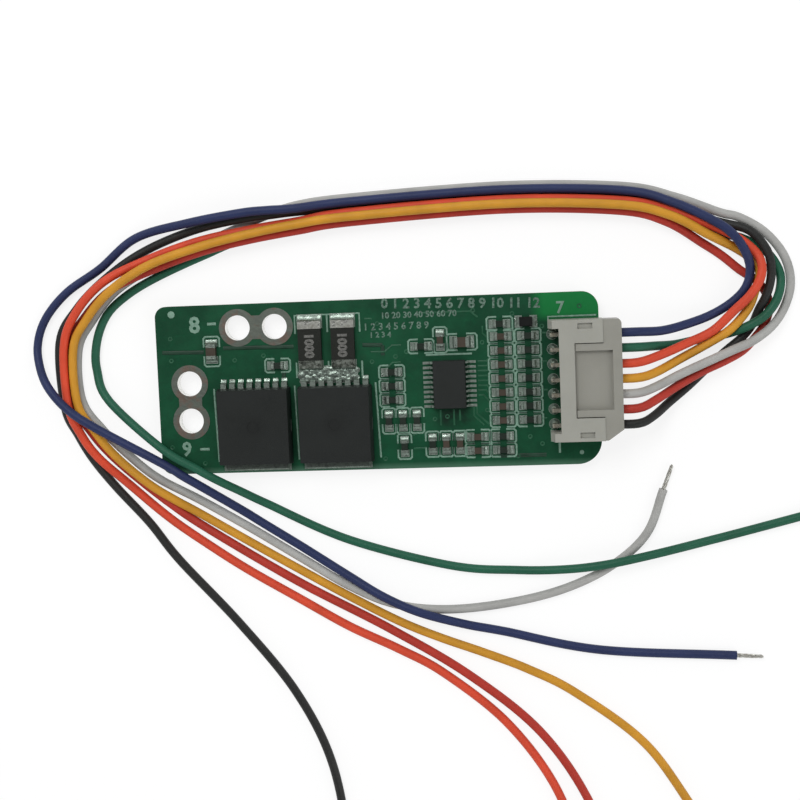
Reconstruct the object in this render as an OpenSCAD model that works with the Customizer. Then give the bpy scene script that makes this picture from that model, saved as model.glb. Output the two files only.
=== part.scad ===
/* [Board] */
// Length of the circuit board, along X
board_l = 60; // [60:1:80]
// Width of the circuit board, along Y
board_w = 23; // [22.5:0.5:32]
// Thickness of the circuit board
board_t = 1.6; // [0.8:0.2:2.4]
// Radius of the two corners at the power end
left_corner_r = 1.5; // [0.5:0.1:2.5]
// Radius of the far corner at the connector end
far_corner_r = 2.2; // [0.5:0.1:3]
// Radius of the near corner at the connector end
near_corner_r = 3.2; // [0.5:0.1:3.4]
// Thickness of the tinned copper on both faces
copper_t = 0.07; // [0.03:0.01:0.15]

/* [Power holes] */
// Diameter of each plated power hole, inside its barrel
power_hole_d = 3.4; // [2.4:0.1:3.8]
// Wall of the plated barrel
barrel_t = 0.1; // [0.05:0.05:0.2]
// Diameter of the tinned ring round each power hole
power_ring_d = 5.1; // [4.6:0.1:5.2]
// Distance between the two holes of a pair
power_pitch = 5.1; // [5.1:0.1:5.6]
// Width of the tinned bridge between the rings of a pair
power_bridge_w = 3.2; // [1:0.1:4]
// First battery hole, from the power end of the board
battery_hole_from_end = 11.4; // [10.5:0.1:11.6]
// Battery holes, from the far long side of the board
battery_hole_from_side = 3.2; // [2.9:0.1:3.5]
// Pack holes, from the power end of the board
pack_hole_from_end = 4.4; // [3:0.1:4.8]
// Midpoint of the pack holes, from the board's centre line
pack_pair_y = -1.65; // [-3:0.05:-1.4]

/* [Power transistors] */
// Width of the moulded body
fet_w = 9.9; // [9.7:0.1:10.1]
// Length of the moulded body
fet_l = 10.38; // [10.2:0.02:10.5]
// Height of the transistor over the board's copper
fet_h = 2.3; // [2:0.1:2.6]
// Narrowing of the body from its parting line to its top, each side
fet_draft = 0.16; // [0.05:0.01:0.3]
// Space between the two bodies
fet_gap = 1.2; // [1:0.1:1.3]
// First body's side, from the power end of the board
fet_from_end = 8.4; // [8:0.1:8.6]
// Centre of the bodies, from the board's centre line
fet_y = -5.1; // [-5.3:0.05:-5]
// Pitch of the eight leads
fet_lead_pitch = 1.2; // [1.1:0.05:1.25]
// Width of one lead
fet_lead_w = 0.75; // [0.6:0.05:0.85]
// Thickness of leads and drain tab
fet_lead_t = 0.5; // [0.4:0.05:0.6]
// Length by which leads and drain tab stand out of the body
fet_lead_out = 0.65; // [0.4:0.05:0.7]

/* [Shunt resistors] */
// Length over both end terminals
shunt_l = 6.4; // [6.2:0.1:6.5]
// Width of a shunt
shunt_w = 3.15; // [2.8:0.05:3.4]
// Height of a shunt
shunt_h = 0.65; // [0.5:0.05:0.9]
// Length of each end terminal
shunt_end = 1.05; // [0.6:0.05:1.3]
// Distance between the two shunts
shunt_pitch = 4.5; // [4.4:0.1:4.7]
// Distance of the first shunt from the power end of the board
shunt_from_end = 21.3; // [21.1:0.1:21.4]
// Centre of the shunts, from the board's centre line
shunt_y = 5.7; // [5.6:0.05:5.8]

/* [Monitor chip] */
// Length of the chip's body
chip_l = 6.5; // [6.3:0.1:6.8]
// Width of the chip's body
chip_w = 4.4; // [4.2:0.1:4.6]
// Height of the chip's top over the board's copper
chip_h = 1.1; // [0.9:0.05:1.3]
// Gap under the chip's body
chip_gap = 0.1; // [0.05:0.05:0.15]
// Width over the feet
chip_span = 6.5; // [6.2:0.1:6.8]
// Pitch of the leads
chip_pitch = 0.65; // [0.6:0.01:0.66]
// Leads on each side
chip_leads_per_side = 10; // [4:1:10]
// Distance of the chip's centre from the connector end of the board
chip_from_end = 20; // [19.8:0.1:20.2]
// Centre of the chip, from the board's centre line
chip_y = -0.25; // [-0.5:0.05:0]

/* [Chip resistors and capacitors] */
// Length of the small chips
small_l = 1.6; // [1.5:0.05:1.7]
// Width of the small chips
small_w = 0.82; // [0.7:0.02:0.9]
// Height of the small chips
small_h = 0.45; // [0.35:0.05:0.6]
// Length of the end caps of the small chips
small_end = 0.33; // [0.2:0.01:0.4]
// Length of the large chips
large_l = 2; // [1.9:0.05:2.1]
// Width of the large chips
large_w = 1.3; // [1.2:0.05:1.4]
// Height of the large chips
large_h = 0.8; // [0.6:0.05:1]
// Length of the end caps of the large chips
large_end = 0.45; // [0.3:0.05:0.5]
// Length of the soldering pad beyond each end of a chip
pad_reach = 0.65; // [0.4:0.05:0.7]
// Length of the soldering pad under each end of a chip
pad_under = 0.35; // [0.25:0.05:0.4]
// Width of the pad over the width of its chip
pad_side = 0.36; // [0.2:0.02:0.44]
// Rows in the two columns of cell chips
cell_rows = 7; // [1:1:7]
// Pitch of those rows
row_pitch = 1.87; // [1.84:0.01:1.9]
// Centre of those rows, from the board's centre line
row_y = 0.3; // [0.2:0.05:0.4]
// Distance of the filter column from the connector end of the board
filter_from_end = 13; // [12.9:0.05:13.1]
// Distance of the balance column from the connector end of the board
balance_from_end = 9.4; // [9.3:0.05:9.5]

/* [Header] */
// Pins in the header and the plug
pins = 7; // [7:1:7]
// Pitch of the pins
pin_pitch = 2; // [1.9:0.05:2]
// Side of a square pin
pin_s = 0.5; // [0.4:0.05:0.6]
// Width of the header
header_w = 15.9; // [15.7:0.1:16.3]
// Height of the header
header_h = 4.8; // [4.6:0.1:5.2]
// Depth of the header, from its mouth to its rear wall
header_d = 5.7; // [5.6:0.1:6]
// Length of the two cheeks behind the rear wall
cheek_d = 1.4; // [1:0.1:1.6]
// Space between a cheek and the outermost pin
cheek_gap = 0.6; // [0.5:0.05:0.8]
// Length of header beyond the end of the board
header_over = 0.4; // [0:0.1:0.8]
// Side walls of the header
header_wall = 0.8; // [0.7:0.05:0.85]
// Top and bottom walls of the header
header_deck = 0.7; // [0.5:0.05:0.75]
// Rear wall of the header
header_back = 1.1; // [0.9:0.1:1.3]
// Width of the window in the top wall
window_w = 9.8; // [9.4:0.1:10.2]
// Depth of the window, from the mouth
window_d = 3.7; // [3.2:0.1:4]
// Pin row behind the rear wall
pin_row_back = 0.9; // [0.7:0.05:1]
// Length of pin below the board
tail_l = 0.6; // [0.4:0.05:1]
// Drilled hole of a pin, inside its barrel
pin_hole_d = 0.9; // [0.86:0.02:1]
// Diameter of the ring round a pin
pin_ring_d = 1.5; // [1.3:0.05:1.6]

/* [Plug] */
// Clearance of the plug in the header
plug_clear = 0.12; // [0.05:0.01:0.2]
// Length of the plug's collar outside the header
collar_l = 2.4; // [2:0.1:3]
// Height of the plug's collar
collar_h = 4.5; // [4.3:0.1:4.6]
// Length of the chamfer at the collar's near corner
chamfer_l = 2; // [0.5:0.1:2.2]
// Width of that chamfer
chamfer_w = 1.4; // [0.5:0.1:1.6]
// Radius of the collar's far corner
collar_r = 0.6; // [0.2:0.1:1]
// Width of each key rib
key_w = 0.9; // [0.7:0.05:1.1]
// Side of the square terminal cavities
cavity_s = 1.4; // [1.3:0.02:1.5]
// Wall of a crimp terminal
crimp_t = 0.2; // [0.15:0.01:0.25]

/* [Wires] */
// Diameter of a wire over its insulation
wire_d = 1.2; // [1.1:0.05:1.3]
// Diameter of the tinned strands
strand_d = 0.6; // [0.4:0.05:0.8]
// Length of the bare tinned end of each wire
strand_l = 3.5; // [2:0.5:5]
// Length of wire inside the plug
wire_in_plug = 1.8; // [1:0.1:2.2]
// Length of wire that comes straight out of the plug
wire_straight = 2; // [1.5:0.1:2.5]

/* [Hidden] */

$fn = 48;

// A wire's solid has this many sides and a ring at about this distance.
wire_sides = 8;
ring_pitch = 3.4;

// Cuts reach past a face by this much, so that they leave no skin.
past = 0.5;

// The object spans from the power end of the board to the mouth of the header.
board_x0 = -(board_l + header_over) / 2;
board_x1 = board_x0 + board_l;
board_z0 = tail_l;
board_z1 = board_z0 + board_t;
land_z = board_z1 + copper_t;

fet_xs = [board_x0 + fet_from_end + fet_w / 2, board_x0 + fet_from_end + fet_w * 1.5 + fet_gap];
fet_lead_y0 = fet_y + fet_l / 2;
shunt_xs = [board_x0 + shunt_from_end, board_x0 + shunt_from_end + shunt_pitch];
chip_x = board_x1 - chip_from_end;
filter_x = board_x1 - filter_from_end;
balance_x = board_x1 - balance_from_end;

mouth_x = board_x1 + header_over;
rear_x = mouth_x - header_d;
pin_row_x = rear_x - pin_row_back;
pin_z = board_z1 + header_h / 2;
collar_x1 = mouth_x + collar_l;
wire_x0 = collar_x1 - wire_in_plug;

function pin_y(i) = (i - (pins - 1) / 2) * pin_pitch;
function row_ys() = [for (i = [0 : cell_rows - 1]) row_y + (i - (cell_rows - 1) / 2) * row_pitch];

// A chip is [length, width, height, length of an end cap].
small = [small_l, small_w, small_h, small_end];
large = [large_l, large_w, large_h, large_end];

// Places of the loose chips: distance from the connector end, from the centre line, turn.
small_resistors = [
    [board_l - 16.7, 3, 0], [27.8, 1.6, 0], [27.8, -0.27, 0], [27.8, -2.14, 0],
    [28.4, -5, 90], [26.5, -5, 90], [24.6, -5, 90], [26.4, -8.5, 90],
    [22.6, -8.3, 90], [13.1, -7.45, 0], [13.1, -9.3, 0], [23.7, 4.95, 0], [13.1, 7.6, 0]];
small_capacitors = [[20.75, -8.3, 90], [18.9, -8.3, 90], [16.5, -7.45, 0], [16.5, -9.3, 0],
    [21.1, 5.7, 90]];
large_capacitors = [[board_l - 7.7, 5.2, 90], [18.2, 5.35, 0]];
diode_at = [9.6, 7.8, 0];
diode = [1.7, 1.25, 0.9, 0.35];
diode_lead_t = 0.15;
diode_lead_w = 0.35;

// Points that each wire follows from the plug to its bare end, lying on the table and over
// its neighbours.
black_route = [
    [36.6, -5.2, 3.4], [38.8, -3.6, 1.6], [41.4, -1.6, 0.6], [44, 0.8, 0.6], [46.4, 2.9, 0.6],
    [48.5, 4.6, 0.6], [49.9, 6.3, 0.6], [50.7, 8.2, 1.1], [51.5, 9.8, 1.8], [52.1, 11.6, 1.9],
    [52.3, 13.6, 1.9], [51.8, 15.9, 1.9], [49.6, 18.6, 1.5], [45.4, 20, 0.7], [39.7, 22.2, 0.6],
    [33.1, 23.8, 0.6], [17.5, 24.6, 0.6], [-3.1, 23.9, 0.6], [-10.1, 23.6, 1.5],
    [-13.7, 23.3, 1.9], [-17.3, 23, 1.85], [-24.5, 21.7, 1.1], [-31.7, 19.1, 0.6],
    [-37.3, 15.6, 0.6], [-41.6, 11.6, 0.6], [-44.3, 7, 0.6], [-44.1, -1.9, 0.6],
    [-42.4, -5.9, 0.6], [-40.4, -9.4, 0.6], [-37.3, -13.4, 0.6], [-32.9, -18.4, 0.6],
    [-28.9, -23.8, 0.6], [-20.8, -32.9, 0.6], [-13.4, -42.6, 0.6], [-8.8, -52.6, 0.6],
    [-7.2, -64, 0.6], [-8.4, -75, 0.6], [-10.6, -84, 0.6]];
first_red_route = [
    [37, -3, 3.8], [39.8, -1.4, 2.6], [43.2, 0.4, 2], [46.2, 1.7, 1.75], [48.6, 2.9, 0.8],
    [50.2, 4.5, 0.6], [51.5, 6.3, 0.6], [52.1, 8.4, 0.6], [51.7, 10.4, 0.6], [50.4, 12.1, 0.6],
    [48.4, 13.5, 0.6], [46.2, 15.4, 0.6], [43.8, 17.1, 0.6], [38.9, 20.2, 1.6],
    [32.7, 21.9, 1.8], [17.5, 22.7, 1.8], [-2.9, 21.9, 1.8], [-9.8, 21.1, 1.8],
    [-16.8, 20.1, 1.8], [-23.6, 18.7, 1.85], [-30.5, 16.5, 1.85], [-36.2, 14.1, 1.9],
    [-40.3, 10.5, 1.2], [-42.9, 6.5, 0.6], [-42.9, -1.5, 0.6], [-40.6, -5.4, 0.6],
    [-38.4, -8.2, 0.6], [-35.3, -11.2, 0.6], [-29.9, -15.7, 0.6], [-24.4, -19.6, 0.6],
    [-12.1, -27.2, 0.6], [0.2, -33.9, 0.6], [11, -40.6, 0.6], [20.4, -48.6, 0.6],
    [26.8, -58.6, 0.6], [30, -69.6, 0.6]];
white_route = [
    [37.2, -1.2, 3.9], [40.4, 0.3, 3.4], [46.6, 2.9, 2.8], [50, 4.3, 2], [52.7, 6.4, 1.4],
    [54.4, 9.2, 0.6], [54.9, 12.2, 0.6], [54, 15.4, 0.6], [51.6, 18.4, 0.6], [48.4, 20.4, 0.6],
    [46, 21.1, 0.6], [40.2, 23.4, 0.6], [33.4, 25.1, 0.6], [17.5, 25.9, 0.6], [-3.2, 25.2, 0.6],
    [-10.3, 24.5, 0.6], [-13.7, 23.5, 0.6], [-17.2, 22.3, 0.6], [-23.9, 19.6, 0.6],
    [-30.7, 16.9, 0.6], [-36, 13.8, 0.6], [-39.5, 9.9, 0.6], [-41.7, 6, 0.6],
    [-41.6, -1, 0.6], [-38.8, -5.3, 0.6], [-35, -9.2, 0.6], [-31.2, -12.3, 0.6],
    [-25.5, -15.4, 0.6], [-18.7, -19.4, 0.6], [-12, -23.6, 0.6], [-5.2, -27.8, 0.6],
    [0.8, -30.4, 0.6], [7.5, -31.3, 0.6], [15.4, -30.7, 0.6], [23.6, -28.9, 0.6],
    [30.4, -25.8, 0.6], [35.4, -21.4, 0.6], [37.8, -15.4, 0.6]];
yellow_route = [
    [37, 0.6, 4], [40.4, 2.2, 2.4], [44.3, 4.2, 1.9], [47, 5.9, 2.25], [49.3, 8.5, 1.8],
    [50.2, 10.8, 1.9], [50.8, 12.5, 1.8], [50.5, 14.3, 0.9], [48.2, 16.2, 0.6],
    [44.4, 18.2, 2.4], [39.3, 21, 2.9], [32.9, 22.6, 2.95], [17.5, 23.4, 2.95],
    [-3, 22.6, 2.95], [-9.9, 21.9, 2.95], [-16.9, 20.8, 2.95], [-23.8, 19.3, 3],
    [-30.7, 17.1, 3.1], [-36, 13.9, 3.2], [-39.8, 10.1, 2.4], [-42, 6.2, 1.85],
    [-41.9, -1.2, 1.85], [-39.8, -5.1, 1.85], [-36.8, -8.9, 1.85], [-32.5, -12.7, 1.85],
    [-29, -15.1, 1.5], [-25.7, -17.2, 0.8], [-18.8, -21.4, 0.6], [-12, -25.4, 0.6],
    [-5.2, -29.3, 0.6], [1.6, -32.9, 0.6], [7, -35.2, 0.6], [13, -37.4, 0.6], [19, -39.8, 0.6],
    [25.4, -43.2, 0.6], [34.6, -50.4, 0.6], [41.4, -60.4, 0.6]];
second_red_route = [
    [37.8, 2.9, 4], [41.2, 4.2, 2.8], [44.6, 5.7, 2.3], [47.2, 8.1, 2.7], [49.6, 10.4, 3],
    [50.9, 12.8, 3], [50.7, 15.2, 2.1], [48.4, 17.5, 1.85], [45, 19.3, 1.85], [39.5, 21.6, 1.8],
    [33, 23.2, 1.8], [17.5, 24, 1.8], [-3, 23.2, 1.8], [-10, 22.3, 1.8], [-17, 21.4, 1.85],
    [-24.1, 20.1, 1.85], [-31.1, 17.9, 2], [-37, 15.2, 2.6], [-41.1, 11.2, 2.5],
    [-43.3, 6.6, 1.85], [-43.2, -1.6, 1.85], [-41.7, -5.5, 1.85], [-39.4, -9, 1.6],
    [-35.3, -13.1, 0.7], [-30, -17.8, 0.6], [-24.5, -21.8, 0.6], [-19.1, -25.4, 0.6],
    [-12.2, -29.5, 0.6], [-5.4, -33.5, 0.6], [1.4, -36.8, 0.6], [7.4, -40.2, 0.6],
    [15.6, -47, 0.6], [21.8, -55.6, 0.6], [25.2, -65, 0.6], [26.4, -73.4, 0.6]];
green_route = [
    [37, 4, 3.2], [39.6, 4, 1.6], [42.2, 4.4, 0.6], [45.2, 4.9, 0.6], [47, 5.3, 1.1],
    [48.9, 6, 1.9], [51.2, 7.3, 2.1], [52.8, 9.2, 1.9], [53.6, 11.4, 0.9], [53.4, 13.4, 0.6],
    [51.8, 15.8, 0.6], [48.6, 17.7, 0.6], [44.7, 18.7, 0.6], [39.3, 21, 0.6], [32.9, 22.6, 0.6],
    [17.5, 23.3, 0.6], [-2.9, 22.5, 0.6], [-16.8, 20.4, 0.6], [-23.5, 18.2, 0.6],
    [-30.4, 15.4, 0.6], [-34.6, 13.1, 0.6], [-37.4, 10.6, 0.6], [-39, 7, 0.6], [-39.2, 3, 0.6],
    [-37.4, -1.2, 1.6], [-30, -7.8, 3], [-25.2, -10.8, 3], [-22.3, -12.5, 2.8],
    [-19.8, -14, 1.8], [-15.8, -16.3, 0.6], [-4.9, -21.4, 0.6], [8.8, -25.2, 0.6],
    [17.5, -26, 0.6], [24, -25.9, 1.4], [29.5, -25.3, 1.9], [35.5, -24.2, 1.6],
    [44, -22.4, 0.6], [58.4, -18.8, 0.6]];
blue_route = [
    [37.9, 6, 3.6], [41, 6.6, 2.2], [44.4, 7.7, 1.4], [47.2, 9.3, 1.5], [49, 11.2, 1.9],
    [49.6, 13.5, 2], [49, 15.7, 2.8], [47.6, 17.9, 3.1], [45.3, 19.8, 3], [39.9, 22.6, 2.5],
    [33.3, 24.5, 1.8], [17.5, 25.3, 1.8], [-3.1, 24.6, 2], [-10.2, 24, 2.85],
    [-13.8, 23.9, 3.1], [-17.4, 23.7, 3.1], [-24.8, 22.7, 2.3], [-32.6, 21, 0.9],
    [-38, 17, 0.6], [-42.8, 14, 0.6], [-46, 10.6, 0.6], [-47.4, 7.2, 0.6], [-47.2, 4.2, 1.2],
    [-45.7, 1.2, 2.7], [-43.1, -1.9, 3.1], [-39.3, -4.6, 3.1], [-29.8, -10, 3],
    [-27.2, -11.7, 3], [-24.5, -13.5, 2.4], [-18.7, -17.6, 0.6], [-11.9, -22, 0.6],
    [-5.1, -26.4, 1], [-0.4, -29.2, 1.7], [4.5, -31.4, 1.9], [10.5, -33.3, 1], [16, -34.5, 0.6],
    [28.8, -37.2, 0.6], [47, -38.2, 0.6]];

// A rectangle about the origin with its corners cut by c.
function cut_rect(w, h, c) = [
    [-w / 2 + c, -h / 2], [w / 2 - c, -h / 2], [w / 2, -h / 2 + c], [w / 2, h / 2 - c],
    [w / 2 - c, h / 2], [-w / 2 + c, h / 2], [-w / 2, h / 2 - c], [-w / 2, -h / 2 + c]];

// Puts children at a place on the board's copper, given from the connector end.
module on_board(place)
    translate([board_x1 - place[0], place[1], land_z])
    rotate([0, 0, place[2]])
    children();

// ---- board ----

module board_outline() {
    difference() {
        translate([board_x0, -board_w / 2])
        square([board_l, board_w]);
        outline_corner(board_x0, board_w / 2, 1, -1, left_corner_r);
        outline_corner(board_x0, -board_w / 2, 1, 1, left_corner_r);
        outline_corner(board_x1, board_w / 2, -1, -1, far_corner_r);
        outline_corner(board_x1, -board_w / 2, -1, 1, near_corner_r);
    }
}

// What a corner of radius r leaves outside its arc; sx and sy point into the board.
module outline_corner(x, y, sx, sy, r) {
    translate([x, y])
    scale([sx, sy])
    difference() {
        translate([-past, -past])
        square(r + past);
        translate([r, r])
        circle(r);
    }
}

battery_holes = [for (i = [0, 1])
    [board_x0 + battery_hole_from_end + i * power_pitch, board_w / 2 - battery_hole_from_side]];
pack_holes = [for (i = [0, 1])
    [board_x0 + pack_hole_from_end, pack_pair_y + (0.5 - i) * power_pitch]];

module circuit_board() {
    color([0.05, 0.36, 0.22])
    translate([0, 0, board_z0])
    difference() {
        linear_extrude(board_t)
        board_outline();
        for (at = concat(battery_holes, pack_holes))
            translate([at[0], at[1], -past])
            cylinder(h = board_t + 2 * past, d = power_hole_d + 2 * barrel_t);
        for (i = [0 : pins - 1])
            translate([pin_row_x, pin_y(i), -past])
            cylinder(h = board_t + 2 * past, d = pin_hole_d + 2 * barrel_t);
    }
}

// Rings on both faces, joined by barrels; the rings of a pair share a bridge.
module power_pads(holes) {
    middle = (holes[0] + holes[1]) / 2;
    along = holes[1] - holes[0];
    bridge = [max(abs(along[0]), power_bridge_w), max(abs(along[1]), power_bridge_w)];
    difference() {
        union() {
            for (z = [board_z0 - copper_t, board_z1])
                translate([0, 0, z])
                linear_extrude(copper_t) {
                    for (at = holes)
                        translate(at)
                        circle(d = power_ring_d);
                    translate(middle)
                    square(bridge, center = true);
                }
            for (at = holes)
                translate([at[0], at[1], board_z0])
                cylinder(h = board_t, d = power_hole_d + 2 * barrel_t);
        }
        for (at = holes)
            translate([at[0], at[1], board_z0 - past])
            cylinder(h = board_t + 2 * past, d = power_hole_d);
    }
}

module battery_power_pads() {
    color([0.55, 0.52, 0.5])
    power_pads(battery_holes);
}

module charge_and_load_pads() {
    color([0.55, 0.52, 0.5])
    power_pads(pack_holes);
}

module header_pads() {
    color([0.75, 0.75, 0.72])
    for (i = [0 : pins - 1])
        translate([pin_row_x, pin_y(i), board_z0])
        difference() {
            union() {
                cylinder(h = board_t, d = pin_hole_d + 2 * barrel_t);
                translate([0, 0, -copper_t])
                cylinder(h = copper_t, d = pin_ring_d);
                translate([0, 0, board_t])
                cylinder(h = copper_t, d = pin_ring_d);
            }
            translate([0, 0, -past])
            cylinder(h = board_t + 2 * past, d = pin_hole_d);
        }
}

// ---- chip resistors and capacitors ----

module chip_core(chip) {
    translate([-chip[0] / 2 + chip[3], -chip[1] / 2, 0])
    cube([chip[0] - 2 * chip[3], chip[1], chip[2]]);
}

// End caps stand a little proud of the core, with their edges broken.
module chip_ends(chip) {
    proud = 0.02;
    for (side = [-1, 1])
        translate([side * (chip[0] - chip[3]) / 2, 0, chip[2] / 2 + proud / 2])
        rotate([90, 0, 90])
        linear_extrude(chip[3], center = true)
        polygon(cut_rect(chip[1] + proud, chip[2] + proud, 2 * proud));
}

module chip_lands(chip) {
    pad_l = pad_under + pad_reach;
    pad_w = chip[1] + pad_side;
    for (side = [-1, 1])
        translate([side * (chip[0] / 2 + (pad_reach - pad_under) / 2), 0, -copper_t / 2])
        cube([pad_l, pad_w, copper_t], center = true);
}

// Hollow-faced fillet of solder, rising against a wall at x = 0.
module solder_fillet(reach, rise, width) {
    steps = 5;
    rotate([90, 0, 0])
    linear_extrude(width, center = true)
    polygon(concat([[0, 0], [reach, 0]],
        [for (i = [0 : steps]) [reach - reach * sin(90 * i / steps), rise - rise * cos(90 * i / steps)]]));
}

module chip_fillets(chip) {
    for (side = [0, 180])
        rotate([0, 0, side])
        translate([chip[0] / 2, 0, 0])
        solder_fillet(pad_reach * 0.9, chip[2] * 0.85, chip[1] + pad_side / 2);
}

module each_small_resistor()
    for (place = small_resistors)
        on_board(place)
        children();

module each_small_capacitor()
    for (place = small_capacitors)
        on_board(place)
        children();

module each_large_capacitor()
    for (place = large_capacitors)
        on_board(place)
        children();

module each_in_column(x)
    for (y = row_ys())
        translate([x, y, land_z])
        children();

module balance_resistor_bodies() {
    color([0.1, 0.1, 0.1])
    each_in_column(balance_x)
    chip_core(small);
}

module balance_resistor_ends() {
    color([0.75, 0.75, 0.72])
    each_in_column(balance_x)
    chip_ends(small);
}

module filter_capacitor_bodies() {
    color([0.42, 0.3, 0.22])
    each_in_column(filter_x)
    chip_core(small);
}

module filter_capacitor_ends() {
    color([0.75, 0.75, 0.72])
    each_in_column(filter_x)
    chip_ends(small);
}

module small_resistor_bodies() {
    color([0.1, 0.1, 0.1])
    each_small_resistor()
    chip_core(small);
}

module small_resistor_ends() {
    color([0.75, 0.75, 0.72])
    each_small_resistor()
    chip_ends(small);
}

module small_capacitor_bodies() {
    color([0.42, 0.3, 0.22])
    each_small_capacitor()
    chip_core(small);
}

module small_capacitor_ends() {
    color([0.75, 0.75, 0.72])
    each_small_capacitor()
    chip_ends(small);
}

module large_capacitor_bodies() {
    color([0.45, 0.32, 0.26])
    each_large_capacitor()
    chip_core(large);
}

module large_capacitor_ends() {
    color([0.75, 0.75, 0.72])
    each_large_capacitor()
    chip_ends(large);
}

module diode_body() {
    color([0.08, 0.08, 0.08])
    on_board(diode_at)
    translate([0, 0, diode_lead_t])
    rotate([90, 0, 90])
    linear_extrude(diode[0], center = true)
    translate([0, (diode[2] - diode_lead_t) / 2])
    polygon(cut_rect(diode[1], diode[2] - diode_lead_t, diode_lead_t));
}

// Flat leads that come out under the ends of the body.
module diode_leads() {
    color([0.75, 0.75, 0.72])
    on_board(diode_at)
    for (side = [-1, 1])
        translate([side * diode[0] / 2, 0, diode_lead_t / 2])
        cube([2 * diode[3], diode_lead_w, diode_lead_t], center = true);
}

module chip_pads() {
    color([0.7, 0.68, 0.6]) {
        each_small_resistor()
        chip_lands(small);
        each_small_capacitor()
        chip_lands(small);
        each_large_capacitor()
        chip_lands(large);
        each_in_column(balance_x)
        chip_lands(small);
        each_in_column(filter_x)
        chip_lands(small);
        on_board(diode_at)
        chip_lands(diode);
        monitor_chip_lands();
        transistor_lands();
        shunt_lands();
    }
}

module chip_solder() {
    color([0.8, 0.8, 0.78]) {
        each_small_resistor()
        chip_fillets(small);
        each_small_capacitor()
        chip_fillets(small);
        each_large_capacitor()
        chip_fillets(large);
        each_in_column(balance_x)
        chip_fillets(small);
        each_in_column(filter_x)
        chip_fillets(small);
        diode_fillets();
    }
}

module diode_fillets() {
    on_board(diode_at)
    for (side = [0, 180])
        rotate([0, 0, side])
        translate([diode[0] / 2 + diode[3], 0, 0])
        solder_fillet(pad_reach - diode[3], diode_lead_t, diode[1]);
}

// ---- monitor chip ----

chip_lead_w = 0.24;
chip_lead_t = 0.13;
chip_foot_l = 0.6;
chip_draft = 0.1;
chip_dot_d = 0.8;
chip_dot_depth = 0.05;
chip_dot_inset = 1;

module monitor_chip_body() {
    middle_z = (chip_gap + chip_h) / 2;
    color([0.16, 0.16, 0.16])
    translate([chip_x, chip_y, land_z])
    difference() {
        intersection() {
            rotate([90, 0, 0])
            linear_extrude(chip_l, center = true)
            chip_profile(chip_w, middle_z);
            rotate([90, 0, 90])
            linear_extrude(chip_w, center = true)
            chip_profile(chip_l, middle_z);
        }
        translate([chip_dot_inset - chip_w / 2, chip_l / 2 - chip_dot_inset, chip_h - chip_dot_depth])
        cylinder(h = past, d = chip_dot_d);
    }
}

// Body section: widest at the parting line, drawn in to the top and the bottom.
module chip_profile(width, middle_z)
    polygon([
        [-width / 2 + chip_draft, chip_gap], [width / 2 - chip_draft, chip_gap],
        [width / 2, middle_z], [width / 2 - chip_draft, chip_h],
        [-width / 2 + chip_draft, chip_h], [-width / 2, middle_z]]);

// Gull-wing section: shoulder at the parting line, a slanted leg and a flat foot.
module gull_wing() {
    middle_z = (chip_gap + chip_h) / 2;
    x0 = chip_w / 2;
    x3 = chip_span / 2;
    x2 = x3 - chip_foot_l;
    x1 = (x0 + x2) / 2 + chip_lead_t / 2;
    t = chip_lead_t;
    polygon([
        [x0, middle_z - t / 2], [x1 - t / 2, middle_z - t / 2], [x2 - t / 2, t / 4], [x2, 0],
        [x3, 0], [x3, t], [x2 + t / 2, t], [x1 + t / 2, middle_z], [x1, middle_z + t / 2],
        [x0, middle_z + t / 2]]);
}

function chip_lead_y(i) = (i - (chip_leads_per_side - 1) / 2) * chip_pitch;

module chip_lead_row(turn)
    translate([chip_x, chip_y, land_z])
    rotate([0, 0, turn])
    for (i = [0 : chip_leads_per_side - 1])
        translate([0, chip_lead_y(i), 0])
        rotate([90, 0, 0])
        linear_extrude(chip_lead_w, center = true)
        gull_wing();

module monitor_chip_far_side_leads() {
    color([0.78, 0.78, 0.76])
    chip_lead_row(180);
}

module monitor_chip_near_side_leads() {
    color([0.78, 0.78, 0.76])
    chip_lead_row(0);
}

module monitor_chip_lands() {
    land_l = chip_foot_l + 0.6;
    land_w = chip_lead_w + 0.12;
    translate([chip_x, chip_y, board_z1 + copper_t / 2])
    for (side = [-1, 1], i = [0 : chip_leads_per_side - 1])
        translate([side * (chip_span / 2 - chip_foot_l / 2), chip_lead_y(i), 0])
        cube([land_l, land_w, copper_t], center = true);
}

// ---- power transistors ----

fet_leads = 8;
fet_land_out = 0.6;
fet_lead_in = 1.2;
fet_ear_l = 1.6;
fet_ear_t = 0.25;
fet_dimple_d = 1.6;
fet_dimple_depth = 0.06;

// Body of the first transistor about its own centre, its underside open to the leads.
module fet_body_at(x) {
    parting_z = fet_lead_t;
    translate([x, fet_y, land_z])
    difference() {
        intersection() {
            rotate([90, 0, 0])
            linear_extrude(fet_l, center = true)
            fet_profile(fet_w, parting_z);
            rotate([90, 0, 90])
            linear_extrude(fet_w, center = true)
            fet_profile(fet_l, parting_z);
        }
        fet_lead_block(0, fet_leads - 1);
        fet_tab_block();
        translate([0, 0, fet_h - fet_dimple_depth])
        cylinder(h = past, d = fet_dimple_d);
    }
}

module fet_profile(width, parting_z)
    polygon([
        [-width / 2, 0], [width / 2, 0], [width / 2, parting_z + fet_ear_t],
        [width / 2 - fet_draft, fet_h], [-width / 2 + fet_draft, fet_h],
        [-width / 2, parting_z + fet_ear_t]]);

function fet_lead_x(i) = (i - (fet_leads - 1) / 2) * fet_lead_pitch;

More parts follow.
